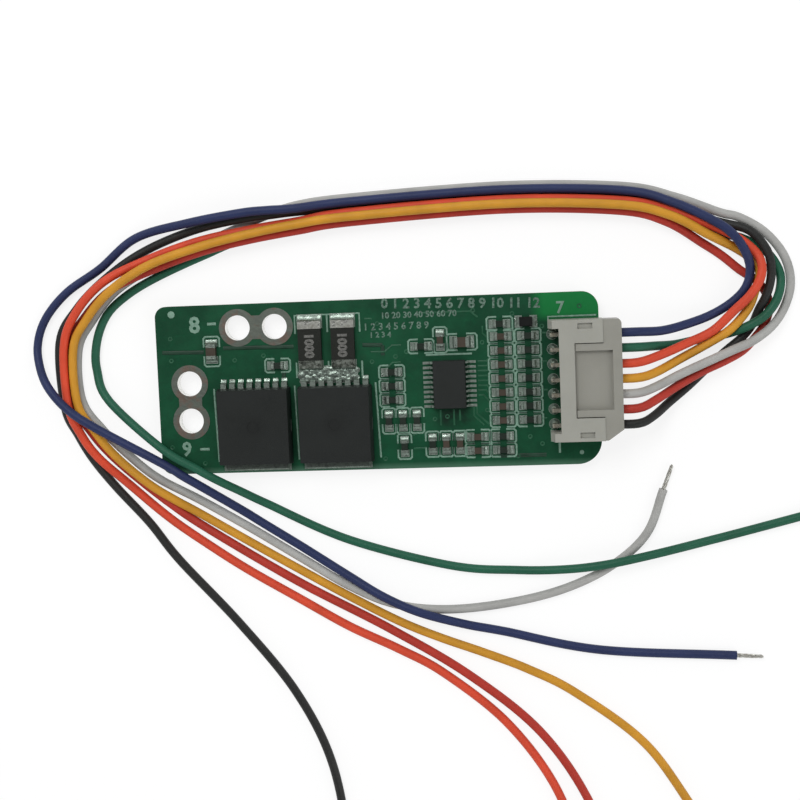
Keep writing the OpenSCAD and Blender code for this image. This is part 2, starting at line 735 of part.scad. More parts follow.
// Leads from first to last, in the transistor's own frame; neighbours share a bar in the body.
module fet_lead_block(first, last) {
    for (i = [first : last])
        translate([fet_lead_x(i) - fet_lead_w / 2, fet_l / 2 - fet_lead_in, 0])
        cube([fet_lead_w, fet_lead_in + fet_lead_out, fet_lead_t]);
    if (last - first == fet_leads - 2)
        translate([fet_lead_x(first) - fet_lead_w / 2, fet_l / 2 - fet_lead_in, 0])
        cube([(last - first) * fet_lead_pitch + fet_lead_w, fet_lead_in / 2, fet_lead_t]);
    if (last - first == fet_leads - 1) {
        fet_lead_block(0, fet_leads - 2);
    }
}

// Drain tab: exposed pad under the body, a tongue at the near end and an ear on each side.
module fet_tab_block() {
    tongue_w = fet_w - 1.4;
    pad_l = fet_l - fet_lead_in - 1.2;
    translate([-tongue_w / 2, -fet_l / 2 - fet_lead_out, 0])
    cube([tongue_w, fet_lead_out + pad_l, fet_lead_t]);
    translate([-fet_w / 2 - 0.05, -fet_ear_l / 2, fet_lead_t])
    cube([fet_w + 0.1, fet_ear_l, fet_ear_t]);
}

module left_transistor_body() {
    color([0.15, 0.15, 0.15])
    fet_body_at(fet_xs[0]);
}

module right_transistor_body() {
    color([0.15, 0.15, 0.15])
    fet_body_at(fet_xs[1]);
}

module fet_metal(x)
    color([0.72, 0.72, 0.7])
    translate([x, fet_y, land_z])
    children();

module left_transistor_source_leads()
    fet_metal(fet_xs[0])
    fet_lead_block(0, fet_leads - 2);

module left_transistor_gate_lead()
    fet_metal(fet_xs[0])
    fet_lead_block(fet_leads - 1, fet_leads - 1);

module left_transistor_drain_tab()
    fet_metal(fet_xs[0])
    fet_tab_block();

module right_transistor_source_leads()
    fet_metal(fet_xs[1])
    fet_lead_block(0, fet_leads - 2);

module right_transistor_gate_lead()
    fet_metal(fet_xs[1])
    fet_lead_block(fet_leads - 1, fet_leads - 1);

module right_transistor_drain_tab()
    fet_metal(fet_xs[1])
    fet_tab_block();

module transistor_lands()
    for (x = fet_xs)
        translate([x, fet_y, board_z1]) {
            for (i = [0 : fet_leads - 1])
                translate([fet_lead_x(i) - fet_lead_w / 2, fet_l / 2 - fet_lead_in, 0])
                cube([fet_lead_w, fet_lead_in + fet_lead_out + fet_land_out, copper_t]);
            translate([-fet_w / 2 + 0.3, -fet_l / 2 - fet_lead_out - 0.3, 0])
            cube([fet_w - 0.6, fet_l - fet_lead_in - 0.5, copper_t]);
        }

module transistor_solder() {
    color([0.8, 0.8, 0.78])
    for (x = fet_xs)
        translate([x, fet_y, land_z]) {
            for (i = [0 : fet_leads - 1])
                translate([fet_lead_x(i), fet_l / 2 + fet_lead_out, 0])
                rotate([0, 0, 90])
                solder_fillet(fet_land_out * 0.9, fet_lead_t * 0.9, fet_lead_w);
            translate([0, -fet_l / 2 - fet_lead_out, 0])
            rotate([0, 0, -90])
            solder_fillet(0.28, fet_lead_t * 0.8, fet_w - 1.4);
        }
}

// ---- shunts ----

shunt = [shunt_l, shunt_w, shunt_h, shunt_end];
shunt_land_out = 0.9;

module at_shunt(i)
    translate([shunt_xs[i], shunt_y, land_z])
    rotate([0, 0, 90])
    children();

module left_shunt_body() {
    color([0.12, 0.12, 0.12])
    at_shunt(0)
    chip_core(shunt);
}

module right_shunt_body() {
    color([0.12, 0.12, 0.12])
    at_shunt(1)
    chip_core(shunt);
}

module left_shunt_ends() {
    color([0.78, 0.78, 0.76])
    at_shunt(0)
    chip_ends(shunt);
}

module right_shunt_ends() {
    color([0.78, 0.78, 0.76])
    at_shunt(1)
    chip_ends(shunt);
}

module shunt_lands()
    for (i = [0, 1])
        at_shunt(i)
        for (side = [-1, 1])
            translate([side * (shunt_l / 2 - shunt_end / 2 + shunt_land_out / 2), 0, -copper_t / 2])
            cube([shunt_end + shunt_land_out, shunt_w + 0.3, copper_t], center = true);

module shunt_solder() {
    color([0.8, 0.8, 0.78])
    for (i = [0, 1])
        at_shunt(i)
        for (side = [0, 180])
            rotate([0, 0, side])
            translate([shunt_l / 2, 0, 0])
            solder_fillet(shunt_land_out * 0.9, shunt_h * 0.8, shunt_w);
}

// ---- header ----

slot_l = 1.9;
slot_w = 0.75;
slot_depth = 0.35;
slot_inset = 0.45;
lead_in = 0.25;
pin_reach = 3.4;
cheek_t = header_w / 2 - pin_y(pins - 1) - pin_s / 2 - cheek_gap;
pin_tip_cut = 0.12;

module header_shell() {
    translate([rear_x, -header_w / 2, board_z1])
    cube([header_d, header_w, header_h]);
    for (side = [-1, 1])
        translate([rear_x - cheek_d, side * (header_w / 2 - cheek_t / 2), board_z1])
        rotate([90, 0, 0])
        linear_extrude(cheek_t, center = true)
        polygon([[0, 0], [cheek_d, 0], [cheek_d, header_h], [cheek_d * 0.4, header_h],
            [0, header_h * 0.55]]);
}

module header_housing() {
    cavity_x0 = rear_x + header_back;
    cavity_w = header_w - 2 * header_wall;
    cavity_h = header_h - 2 * header_deck;
    color([0.86, 0.85, 0.81])
    difference() {
        header_shell();
        translate([cavity_x0, -cavity_w / 2, board_z1 + header_deck])
        cube([header_d, cavity_w, cavity_h]);
        translate([mouth_x - lead_in, -cavity_w / 2 - lead_in, board_z1 + header_deck - lead_in])
        cube([header_d, cavity_w + 2 * lead_in, cavity_h + 2 * lead_in]);
        translate([mouth_x - window_d, -window_w / 2, pin_z])
        cube([header_d, window_w, header_h]);
        for (side = [-1, 1])
            translate([mouth_x - window_d + slot_l / 2 + slot_inset,
                side * (header_w / 2 - slot_inset - slot_w / 2), board_z1 + header_h])
            cube([slot_l, slot_w, 2 * slot_depth], center = true);
        for (i = [0 : pins - 1])
            translate([cavity_x0, pin_y(i), pin_z])
            cube([3 * header_back, pin_s, pin_s], center = true);
        rear_reliefs();
    }
}

// Shallow relief behind each pin, which gives the rear wall its scalloped edge.
module rear_reliefs()
    for (i = [0 : pins - 1])
        translate([rear_x - past, pin_y(i), pin_z + pin_s])
        rotate([0, 90, 0])
        cylinder(h = past + 0.3, d = pin_pitch * 0.6);

// Bent square pin: along the plug, through the rear wall, then down through the board.
module header_pins() {
    tip_x = rear_x + header_back + pin_reach;
    half = pin_s / 2;
    c = pin_tip_cut;
    color([0.8, 0.78, 0.7])
    for (i = [0 : pins - 1])
        translate([0, pin_y(i), 0])
        rotate([90, 0, 0])
        linear_extrude(pin_s, center = true)
        polygon([
            [pin_row_x - half + c, 0], [pin_row_x + half - c, 0], [pin_row_x + half, c],
            [pin_row_x + half, pin_z - half], [tip_x - 2 * c, pin_z - half],
            [tip_x, pin_z - half + c], [tip_x, pin_z + half - c], [tip_x - 2 * c, pin_z + half],
            [pin_row_x - half + 2 * c, pin_z + half], [pin_row_x - half, pin_z + half - 2 * c],
            [pin_row_x - half, c]]);
}

module header_solder() {
    cone_h = tail_l * 0.7;
    neck_d = pin_s * 1.5;
    color([0.82, 0.82, 0.8])
    for (i = [0 : pins - 1])
        translate([pin_row_x, pin_y(i), 0])
        difference() {
            union() {
                translate([0, 0, board_z0 - copper_t])
                cylinder(h = board_t + 2 * copper_t, d = pin_hole_d);
                translate([0, 0, land_z])
                cylinder(h = cone_h, d1 = pin_ring_d - 0.1, d2 = neck_d);
                translate([0, 0, board_z0 - copper_t - cone_h])
                cylinder(h = cone_h, d1 = neck_d, d2 = pin_ring_d - 0.1);
            }
            cube([pin_s, pin_s, 4 * header_h], center = true);
        }
}

// ---- plug ----

plug_x0 = rear_x + header_back + 2 * plug_clear;
plug_w = header_w - 2 * header_wall - 2 * plug_clear;
plug_h = header_h - 2 * header_deck - 2 * plug_clear;
collar_w = header_w - 0.1;
panel_step = 0.7;
panel_out = 1.2;

module collar_outline() {
    half = collar_w / 2;
    difference() {
        polygon([
            [mouth_x, -half], [collar_x1 - chamfer_l, -half], [collar_x1, -half + chamfer_w],
            [collar_x1, half], [mouth_x, half]]);
        translate([collar_x1, half])
        rotate([0, 0, 180])
        difference() {
            translate([-past, -past])
            square(collar_r + past);
            translate([collar_r, collar_r])
            circle(collar_r);
        }
    }
}

module plug_housing() {
    collar_z0 = pin_z - collar_h / 2;
    key_z0 = pin_z + plug_h / 2 - past;
    key_z1 = pin_z + collar_h / 2;
    key_x0 = mouth_x - window_d + plug_clear;
    key_y = window_w / 2 - plug_clear - key_w;
    lance_l = 1.3;
    color([0.84, 0.83, 0.79])
    difference() {
        union() {
            translate([plug_x0, -plug_w / 2, pin_z - plug_h / 2])
            cube([mouth_x - plug_x0 + past, plug_w, plug_h]);
            translate([0, 0, collar_z0])
            linear_extrude(collar_h)
            collar_outline();
            for (side = [-1, 1])
                translate([key_x0, side * (key_y + key_w / 2) - key_w / 2, key_z0])
                cube([collar_x1 - key_x0, key_w, key_z1 - key_z0]);
        }
        translate([mouth_x - past, -key_y, key_z1 - panel_step])
        cube([panel_out + past, 2 * key_y, panel_step + past]);
        for (i = [0 : pins - 1])
            translate([plug_x0 - past, pin_y(i) - cavity_s / 2, pin_z - cavity_s / 2])
            cube([collar_x1 - plug_x0 + 2 * past, cavity_s, cavity_s]);
        for (i = [0 : pins - 1])
            translate([plug_x0 + lance_l, pin_y(i) - cavity_s / 3, pin_z - plug_h])
            cube([lance_l, cavity_s * 2 / 3, plug_h]);
    }
}

// Crimped contact: an open box that holds the pin on a spring leaf, and a closed barrel.
module crimp_terminals() {
    side = cavity_s - 0.1;
    bore = side - 2 * crimp_t;
    x0 = plug_x0 + 0.3;
    box_l = pin_reach;
    leaf_h = (bore - pin_s) / 2;
    color([0.8, 0.72, 0.45])
    for (i = [0 : pins - 1])
        translate([x0, pin_y(i), pin_z]) {
            difference() {
                translate([0, -side / 2, -side / 2])
                cube([wire_x0 - x0, side, side]);
                translate([-past, -bore / 2, -bore / 2])
                cube([box_l + past, bore, bore]);
            }
            translate([box_l * 0.3, -bore / 4, -bore / 2])
            cube([box_l * 0.4, bore / 2, leaf_h]);
        }
}

// ---- wires ----

// Point at the part t of the way from b to c, on a smooth curve through a, b, c and d.
function on_curve(a, b, c, d, t) =
    b + (c - a) * t / 2 + (2 * a - 5 * b + 4 * c - d) * t * t / 2
    + (3 * b - a - 3 * c + d) * t * t * t / 2;

function unit(v) = v / norm(v);

// Centre line of wire i: out of the plug, then along its route, never below the table.
function wire_line(i, route) =
    let (
        p = concat(
            [[wire_x0, pin_y(i), pin_z], [collar_x1 + wire_straight, pin_y(i), pin_z]], route),
        n = len(p) - 1,
        q = concat([2 * p[0] - p[1]], p, [2 * p[n] - p[n - 1]]),
        line = concat(
            [for (k = [0 : n - 1])
                let (steps = max(1, round(norm(p[k + 1] - p[k]) / ring_pitch)))
                for (j = [0 : steps - 1])
                    on_curve(q[k], q[k + 1], q[k + 2], q[k + 3], j / steps)],
            [p[n]]))
    [for (a = line) [a.x, a.y, max(a.z, wire_d / 2)]];

// Directions of a line at each of its points.
function line_ways(line) =
    let (n = len(line) - 1)
    [for (k = [0 : n]) unit(line[min(k + 1, n)] - line[max(k - 1, 0)])];

// One round tube along a line of points.
module tube(line, d) {
    ways = line_ways(line);
    m = wire_sides;
    n = len(line);
    points = [for (k = [0 : n - 1])
        let (side = unit([-ways[k].y, ways[k].x, 0]), up = cross(ways[k], side))
        for (j = [0 : m - 1])
            line[k] + d / 2 * (side * cos(j * 360 / m) + up * sin(j * 360 / m))];
    walls = [for (k = [0 : n - 2])
        for (j = [0 : m - 1])
            [k * m + j, (k + 1) * m + j, (k + 1) * m + (j + 1) % m, k * m + (j + 1) % m]];
    near = [for (j = [0 : m - 1]) j];
    far = [for (j = [m - 1 : -1 : 0]) (n - 1) * m + j];
    polyhedron(points, concat([near, far], walls), convexity = 10);
}

module wire_1_black()
    color([0.08, 0.08, 0.08])
    tube(wire_line(0, black_route), wire_d);

module wire_2_red()
    color([0.8, 0.15, 0.1])
    tube(wire_line(1, first_red_route), wire_d);

module wire_3_white()
    color([0.9, 0.9, 0.88])
    tube(wire_line(2, white_route), wire_d);

module wire_4_yellow()
    color([0.9, 0.65, 0.1])
    tube(wire_line(3, yellow_route), wire_d);

module wire_5_red()
    color([0.9, 0.3, 0.2])
    tube(wire_line(4, second_red_route), wire_d);

module wire_6_green()
    color([0.05, 0.4, 0.28])
    tube(wire_line(5, green_route), wire_d);

module wire_7_blue()
    color([0.1, 0.16, 0.4])
    tube(wire_line(6, blue_route), wire_d);

// Bare tinned strands that stand out of each wire's free end.
module wire_tips()
    color([0.78, 0.78, 0.76])
    for (i = [0 : pins - 1]) {
        line = wire_line(i, [black_route, first_red_route, white_route, yellow_route,
            second_red_route, green_route, blue_route][i]);
        end = line[len(line) - 1];
        way = unit(end - line[len(line) - 2]);
        translate(end)
        rotate([0, 90, atan2(way.y, way.x)])
        cylinder(h = strand_l, d = strand_d);
    }

circuit_board();
battery_power_pads();
charge_and_load_pads();
header_pads();
chip_pads();
left_transistor_body();
left_transistor_source_leads();
left_transistor_gate_lead();
left_transistor_drain_tab();
right_transistor_body();
right_transistor_source_leads();
right_transistor_gate_lead();
right_transistor_drain_tab();
transistor_solder();
left_shunt_body();
left_shunt_ends();
right_shunt_body();
right_shunt_ends();
shunt_solder();
monitor_chip_body();
monitor_chip_far_side_leads();
monitor_chip_near_side_leads();
balance_resistor_bodies();
balance_resistor_ends();
filter_capacitor_bodies();
filter_capacitor_ends();
small_resistor_bodies();
small_resistor_ends();
small_capacitor_bodies();
small_capacitor_ends();
large_capacitor_bodies();
large_capacitor_ends();
diode_body();
diode_leads();
chip_solder();
header_housing();
header_pins();
header_solder();
plug_housing();
crimp_terminals();
wire_1_black();
wire_2_red();
wire_3_white();
wire_4_yellow();
wire_5_red();
wire_6_green();
wire_7_blue();
wire_tips();
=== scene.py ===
"""Finish of the battery management board: materials, printed legend, wires and stage."""

import math
import random

import bpy
from bpy.props import FloatProperty, FloatVectorProperty, PointerProperty
from mathutils import Matrix, Vector


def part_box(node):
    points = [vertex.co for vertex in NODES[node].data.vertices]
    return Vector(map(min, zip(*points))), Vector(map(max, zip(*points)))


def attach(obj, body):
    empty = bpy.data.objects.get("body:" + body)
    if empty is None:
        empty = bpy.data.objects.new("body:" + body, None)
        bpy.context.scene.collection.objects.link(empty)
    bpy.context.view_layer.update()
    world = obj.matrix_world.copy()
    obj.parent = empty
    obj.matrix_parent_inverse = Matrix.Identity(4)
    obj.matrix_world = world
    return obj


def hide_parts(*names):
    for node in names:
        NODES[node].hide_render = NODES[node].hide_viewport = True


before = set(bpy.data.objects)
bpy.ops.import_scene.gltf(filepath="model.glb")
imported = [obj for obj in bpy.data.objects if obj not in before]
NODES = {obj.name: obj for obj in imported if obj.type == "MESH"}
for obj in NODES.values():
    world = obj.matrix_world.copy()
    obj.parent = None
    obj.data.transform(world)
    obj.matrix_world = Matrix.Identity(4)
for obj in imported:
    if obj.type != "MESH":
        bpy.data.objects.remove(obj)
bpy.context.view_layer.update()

bl_info = {
    "name": "Battery management board",
    "version": (1, 0, 0),
    "blender": (4, 5, 0),
    "location": "View3D > Sidebar > Battery board",
    "description": "Finishes, printed legend and loose wires of a battery management board",
    "category": "Object",
}

MM = 0.001

BOARD_LOW, BOARD_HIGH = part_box("circuit_board")
MOUTH_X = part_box("plug_housing")[1].x
PIN_Z = (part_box("header_housing")[0].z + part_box("header_housing")[1].z) / 2
PIN_PITCH = 2 * MM


def screen(red, green, blue):
    """Linear colour of a colour given in the 0 to 255 steps of a screen."""
    return tuple(
        (c / 255 / 12.92) if c <= 10 else ((c / 255 + 0.055) / 1.055) ** 2.4
        for c in (red, green, blue))


# ---- sizes and colours that a user would change ----


def colour(name, description, default):
    """A colour setting."""
    return FloatVectorProperty(
        name=name, description=description, subtype="COLOR", size=3, min=0, max=1, default=default)


def length(name, description, default):
    """A length setting in metres."""
    return FloatProperty(
        name=name, description=description, subtype="DISTANCE", unit="LENGTH", min=0,
        default=default, precision=5)


class BoardSettings(bpy.types.PropertyGroup):
    """Looks of the bare board and its print."""

    mask: colour("Mask", "Solder mask over the copper", screen(24, 78, 52))
    mask_shade: colour("Mask shade", "Solder mask where it is darker", screen(17, 62, 41))
    mask_fresh: colour(
        "Clean mask", "Mask at the clean corner by the connector", screen(26, 122, 62))
    laminate: colour("Laminate", "Cut edge of the glass-fibre board", screen(96, 104, 62))
    ink: colour("Ink", "Printed legend", screen(118, 152, 134))
    ink_line: length("Ink line", "Width of a printed line", 0.28 * MM)
    ink_height: length("Ink height", "Thickness of the print", 0.03 * MM)
    track_width: length("Track width", "Width of a copper track under the mask", 0.26 * MM)


class PartSettings(bpy.types.PropertyGroup):
    """Looks of the parts on the board."""

    solder: colour("Solder", "Solder joints", screen(146, 160, 150))
    tin: colour("Tin", "Tinned leads and end caps", screen(150, 162, 153))
    ring: colour("Power ring", "Rough tinned rings of the power holes", screen(106, 112, 104))
    copper: colour("Copper tint", "Copper that shows through the thin tin", screen(116, 92, 82))
    mould: colour("Mould", "Transistor bodies", screen(32, 35, 34))
    shunt: colour("Shunt", "Coating of the shunts", screen(29, 31, 27))
    digits: colour("Shunt digits", "Printed value on the shunts", screen(112, 112, 108))
    chip: colour("Chip", "Body of the monitor chip", screen(34, 37, 36))
    resistor: colour("Resistor", "Glaze of the small resistors", screen(34, 42, 36))
    capacitor: colour("Capacitor", "Ceramic of the capacitors", screen(66, 58, 50))
    nylon: colour("Header", "Nylon of the header", screen(158, 158, 150))
    plug_nylon: colour("Plug", "Nylon of the plug", screen(146, 145, 137))


class WireSettings(bpy.types.PropertyGroup):
    """Sizes and colours of the loose wires."""

    diameter: length("Wire diameter", "Diameter over the insulation", 1.2 * MM)
    straight: length("Straight", "Length that comes straight out of the plug", 2 * MM)
    bare: length("Bare end", "Length of the tinned strands at the free end", 3.5 * MM)
    strand: length("Strand", "Diameter of one strand", 0.2 * MM)
    black: colour("Black", "First wire", screen(40, 41, 40))
    red: colour("Red", "Second wire", screen(178, 56, 44))
    white: colour("White", "Third wire", screen(172, 172, 169))
    yellow: colour("Yellow", "Fourth wire", screen(206, 146, 44))
    light_red: colour("Light red", "Fifth wire", screen(214, 76, 50))
    green: colour("Green", "Sixth wire", screen(34, 92, 70))
    blue: colour("Blue", "Seventh wire", screen(40, 50, 88))


class StageSettings(bpy.types.PropertyGroup):
    """Camera, floor and lamps."""

    camera_at: FloatVectorProperty(
        name="Camera", description="Place of the camera", subtype="TRANSLATION", size=3,
        unit="LENGTH", default=(0.02511, 0.01543, 0.20223), precision=5)
    camera_turn: FloatVectorProperty(
        name="Camera turn", description="Turn of the camera about X, Y and Z", subtype="EULER",
        size=3, default=tuple(math.radians(a) for a in (-5.2514, 6.1078, -2.2936)))
    lens: FloatProperty(
        name="Lens", description="Focal length in millimetres", default=67.5, min=1)
    floor: colour("Floor", "Pale table top", (0.8, 0.8, 0.8))
    sky_level: FloatProperty(
        name="Sky", description="Strength of the even light", default=0.75, min=0)
    opening: FloatProperty(
        name="Opening", description="Strength of the light from the opening above the board",
        default=0.1, min=0)
    key_power: FloatProperty(
        name="Key lamp", description="Power of the large lamp behind the board", subtype="POWER",
        unit="POWER", default=1.6, min=0)


# ---- shaping ----


def only(*things):
    """Selects these objects and nothing else, the first one active."""
    bpy.ops.object.select_all(action="DESELECT")
    for thing in things:
        thing.select_set(True)
    bpy.context.view_layer.objects.active = things[0]


def settle(piece, name, material):
    """Names a finished piece, applies its place and gives it its finish and body."""
    only(piece)
    bpy.ops.object.transform_apply(location=True, rotation=True, scale=True)
    piece.name = name
    piece.data.name = name
    piece.data.materials.clear()
    piece.data.materials.append(material)
    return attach(piece, "root")


def joined(pieces):
    """Several objects as one."""
    only(*pieces)
    if len(pieces) > 1:
        bpy.ops.object.join()
    return bpy.context.view_layer.objects.active


def copies(pattern, places):
    """Copies of a pattern, each with its own mesh, at places (x, y, z, turn); the pattern goes."""
    made = []
    for x, y, z, turn in places:
        one = pattern.copy()
        one.data = pattern.data.copy()
        bpy.context.collection.objects.link(one)
        one.matrix_world = Matrix.Translation((x, y, z)) @ Matrix.Rotation(turn, 4, "Z")
        made.append(one)
    bpy.data.objects.remove(pattern)
    for one in made:
        only(one)
        bpy.ops.object.transform_apply(location=True, rotation=True, scale=True)
    return made


def beads(name, lines, diameter, fineness):
    """A curve object with a round bead along each line of points, in metres."""
    data = bpy.data.curves.new(name, "CURVE")
    data.dimensions = "3D"
    data.bevel_depth = diameter / 2
    data.bevel_resolution = fineness
    data.use_fill_caps = True
    for points in lines:
        spline = data.splines.new("POLY")
        spline.points.add(len(points) - 1)
        for point, place in zip(spline.points, points):
            point.co = (*place, 1)
    curve = bpy.data.objects.new(name, data)
    bpy.context.collection.objects.link(curve)
    return curve


def as_mesh(thing):
    """A curve or text as a mesh."""
    only(thing)
    bpy.ops.object.convert(target="MESH")
    return bpy.context.view_layer.objects.active


def in_metres(lines):
    """Lines of (x, y) points in millimetres, turned into metres."""
    return [[(x * MM, y * MM) for x, y in line] for line in lines]


def flat_lines(lines, width, height, z):
    """Low rounded lines of (x, y) points that lie on a surface at z."""
    mesh = as_mesh(beads("lines", [[(x, y, 0) for x, y in line] for line in lines], width, 1))
    mesh.scale = (1, 1, 2 * height / width)
    mesh.location = (0, 0, z)
    bpy.ops.object.transform_apply(location=True, rotation=True, scale=True)
    return mesh


def digits(text, cap_height, at, turn, height, heavy=0.0):
    """Plain printed digits with their lower left corner at a place (x, y, z)."""
    bpy.ops.object.text_add(location=(0, 0, 0))
    words = bpy.context.view_layer.objects.active
    words.data.body = text
    words.data.size = cap_height / 0.72
    words.data.extrude = height
    words.data.offset = heavy
    words.data.resolution_u = 2
    mesh = as_mesh(words)
    mesh.location = at
    mesh.rotation_euler = (0, 0, turn)
    bpy.ops.object.transform_apply(location=True, rotation=True, scale=True)
    return mesh


# ---- finishes ----


class Finish:
    """A procedural material, put together on the object's own coordinates."""

    def __init__(self, name):
        self.material = bpy.data.materials.new(name)
        self.material.use_nodes = True
        self.tree = self.material.node_tree
        self.shader = self.tree.nodes["Principled BSDF"]
        self.place = self.node("ShaderNodeTexCoord").outputs["Object"]

    def node(self, kind, **settings):
        """A node with its settings and unlinked inputs."""
        made = self.tree.nodes.new(kind)
        for key, value in settings.items():
            if hasattr(made, key):
                setattr(made, key, value)
            else:
                made.inputs[key.replace("_", " ")].default_value = value
        return made

    def link(self, source, target):
        """Joins two sockets."""
        self.tree.links.new(source, target)

    def stretched(self, x, y, z):
        """The object's coordinates, scaled along each axis."""
        mapping = self.node("ShaderNodeMapping")
        mapping.inputs["Scale"].default_value = (x, y, z)
        self.link(self.place, mapping.inputs["Vector"])
        return mapping.outputs["Vector"]

    def noise(self, grain, detail=3.0, rough=0.55, vector=None):
        """Clouded noise whose features are about grain metres across."""
        made = self.node("ShaderNodeTexNoise", Scale=1 / grain, Detail=detail, Roughness=rough)
        self.link(vector or self.place, made.inputs["Vector"])
        return made.outputs["Fac"]

    def steps(self, source, low, high, to_low=0.0, to_high=1.0):
        """A value from low to high, mapped to another range."""
        made = self.node("ShaderNodeMapRange", clamp=True)
        for socket, value in zip(("From Min", "From Max", "To Min", "To Max"),
                                 (low, high, to_low, to_high)):
            made.inputs[socket].default_value = value
        self.link(source, made.inputs["Value"])
        return made.outputs["Result"]

    def math(self, operation, first, second):
        """One sum on two values or sockets."""
        made = self.node("ShaderNodeMath", operation=operation)
        for socket, value in zip(made.inputs, (first, second)):
            if isinstance(value, (int, float)):
                socket.default_value = value
            else:
                self.link(value, socket)
        return made.outputs["Value"]

    def mix(self, share, first, second):
        """Colour between two colours or sockets."""
        made = self.node("ShaderNodeMix", data_type="RGBA")
        self.link(share, made.inputs["Factor"])
        # These places hold the colour sockets; the node has others of the same names.
        for index, value in ((6, first), (7, second)):
            if isinstance(value, bpy.types.NodeSocket):
                self.link(value, made.inputs[index])
            else:
                made.inputs[index].default_value = (*value, 1)
        return made.outputs[2]

    def axis(self, name):
        """One coordinate of the object's place, in metres."""
        split = self.node("ShaderNodeSeparateXYZ")
        self.link(self.place, split.inputs["Vector"])
        return split.outputs[name]

    def box_share(self, low, high, soft):
        """One inside a flat box of (x, y) corners, in metres, fading to zero over soft."""
        share = None
        for name, a, b in zip("XY", low, high):
            value = self.axis(name)
            into = self.steps(value, a - soft, a + soft)
            out = self.steps(value, b - soft, b + soft, 1, 0)
            both = self.math("MULTIPLY", into, out)
            share = both if share is None else self.math("MULTIPLY", share, both)
        return share

    def facing_up(self):
        """One on level faces and zero on upright ones."""
        geometry = self.node("ShaderNodeNewGeometry")
        split = self.node("ShaderNodeSeparateXYZ")
        self.link(geometry.outputs["Normal"], split.inputs["Vector"])
        return self.math("ABSOLUTE", split.outputs["Z"], 0)

    def paint(self, source):
        """The surface's colour."""
        self.link(source, self.shader.inputs["Base Color"])

    def painted(self):
        """The colour that the surface has so far."""
        return self.shader.inputs["Base Color"].links[0].from_socket

    def gloss(self, source, low, high):
        """Roughness between low and high, led by a value from 0.3 to 0.7."""
        self.link(self.steps(source, 0.3, 0.7, low, high), self.shader.inputs["Roughness"])

    def relief(self, source, height, strength=1.0):
        """Bumps of that height in metres."""
        made = self.node("ShaderNodeBump", Strength=strength, Distance=height)
        self.link(source, made.inputs["Height"])
        self.link(made.outputs["Normal"], self.shader.inputs["Normal"])


def tone(colour_value, factor):
    """A lighter or darker tone of a colour."""
    return tuple(min(1.0, c * factor) for c in colour_value)


def clothe(material, *nodes):
    """Puts a finish on CAD nodes, which keep their shape."""
    for name in nodes:
        mesh = NODES[name].data
        mesh.materials.clear()
        mesh.materials.append(material)


def moulded(name, base, grain, bump, rough, spread=0.12, shine=0.2):
    """Moulded plastic: fine grain, slight colour drift and uneven gloss."""
    finish = Finish(name)
    drift = finish.noise(3.5 * MM, 4)
    fine = finish.noise(grain, 2)
    shade = finish.mix(
        finish.steps(drift, 0.3, 0.7), tone(base, 1 - spread), tone(base, 1 + spread))
    finish.paint(finish.mix(
        finish.steps(fine, 0.35, 0.75, 0, 0.35), shade, tone(base, 1 + 2 * spread)))
    finish.gloss(drift, rough - 0.07, rough + 0.08)
    finish.relief(fine, bump)
    finish.shader.inputs["Specular IOR Level"].default_value = shine
    return finish


def metal(name, base, grain, bump, rough, dull, dull_share=0.45):
    """Solder or tin: bright metal with dull, soiled patches and small lumps."""
    finish = Finish(name)
    lumps = finish.noise(grain, 4, 0.6)
    patches = finish.noise(2.6 * grain, 3, 0.6)
    finish.paint(finish.mix(finish.steps(patches, 0.42, 0.68), base, dull))
    finish.gloss(patches, rough, rough + 0.25)
    finish.link(
        finish.steps(patches, 0.42, 0.7, 0.95, 0.95 - dull_share),
        finish.shader.inputs["Metallic"])
    finish.relief(lumps, bump)
    return finish


def worn_ink(name, grain, low, high, fresh, faded, rough=0.65, raised=0.0):
    """Printed ink that has worn in small patches."""
    finish = Finish(name)
    worn = finish.noise(grain, 3, rough)
    finish.paint(finish.mix(finish.steps(worn, low, high), fresh, faded))
    finish.gloss(worn, 0.5, 0.7)
    if raised:
        finish.relief(worn, raised)
    return finish.material


def thin_mask(name, grain, low, high, smooth, rough):
    """Solder mask that lies over a track or a gap, between two colours."""
    finish = Finish(name)
    drift = finish.noise(grain, 3)
    finish.paint(finish.mix(finish.steps(drift, 0.35, 0.65), low, high))
    finish.gloss(drift, smooth, rough)
    finish.relief(drift, 0.01 * MM)
    return finish.material


# ---- wires ----

# Points in millimetres that each wire follows from the plug to its bare end, lying on the
# table and over its neighbours.
BLACK_ROUTE = (
    (36.6, -5.2, 3.4), (38.8, -3.6, 1.6), (41.4, -1.6, 0.6), (44, 0.8, 0.6), (46.4, 2.9, 0.6),
    (48.5, 4.6, 0.6), (49.9, 6.3, 0.6), (50.7, 8.2, 1.1), (51.5, 9.8, 1.8), (52.1, 11.6, 1.9),
    (52.3, 13.6, 1.9), (51.8, 15.9, 1.9), (49.6, 18.6, 1.5), (45.4, 20, 0.7), (39.7, 22.2, 0.6),
    (33.1, 23.8, 0.6), (17.5, 24.6, 0.6), (-3.1, 23.9, 0.6), (-10.1, 23.6, 1.5),
    (-13.7, 23.3, 1.9), (-17.3, 23, 1.85), (-24.5, 21.7, 1.1), (-31.7, 19.1, 0.6),
    (-37.3, 15.6, 0.6), (-41.6, 11.6, 0.6), (-44.3, 7, 0.6), (-44.1, -1.9, 0.6),
    (-42.4, -5.9, 0.6), (-40.4, -9.4, 0.6), (-37.3, -13.4, 0.6), (-32.9, -18.4, 0.6),
    (-28.9, -23.8, 0.6), (-20.8, -32.9, 0.6), (-13.4, -42.6, 0.6), (-8.8, -52.6, 0.6),
    (-7.2, -64, 0.6), (-8.4, -75, 0.6), (-10.6, -84, 0.6))
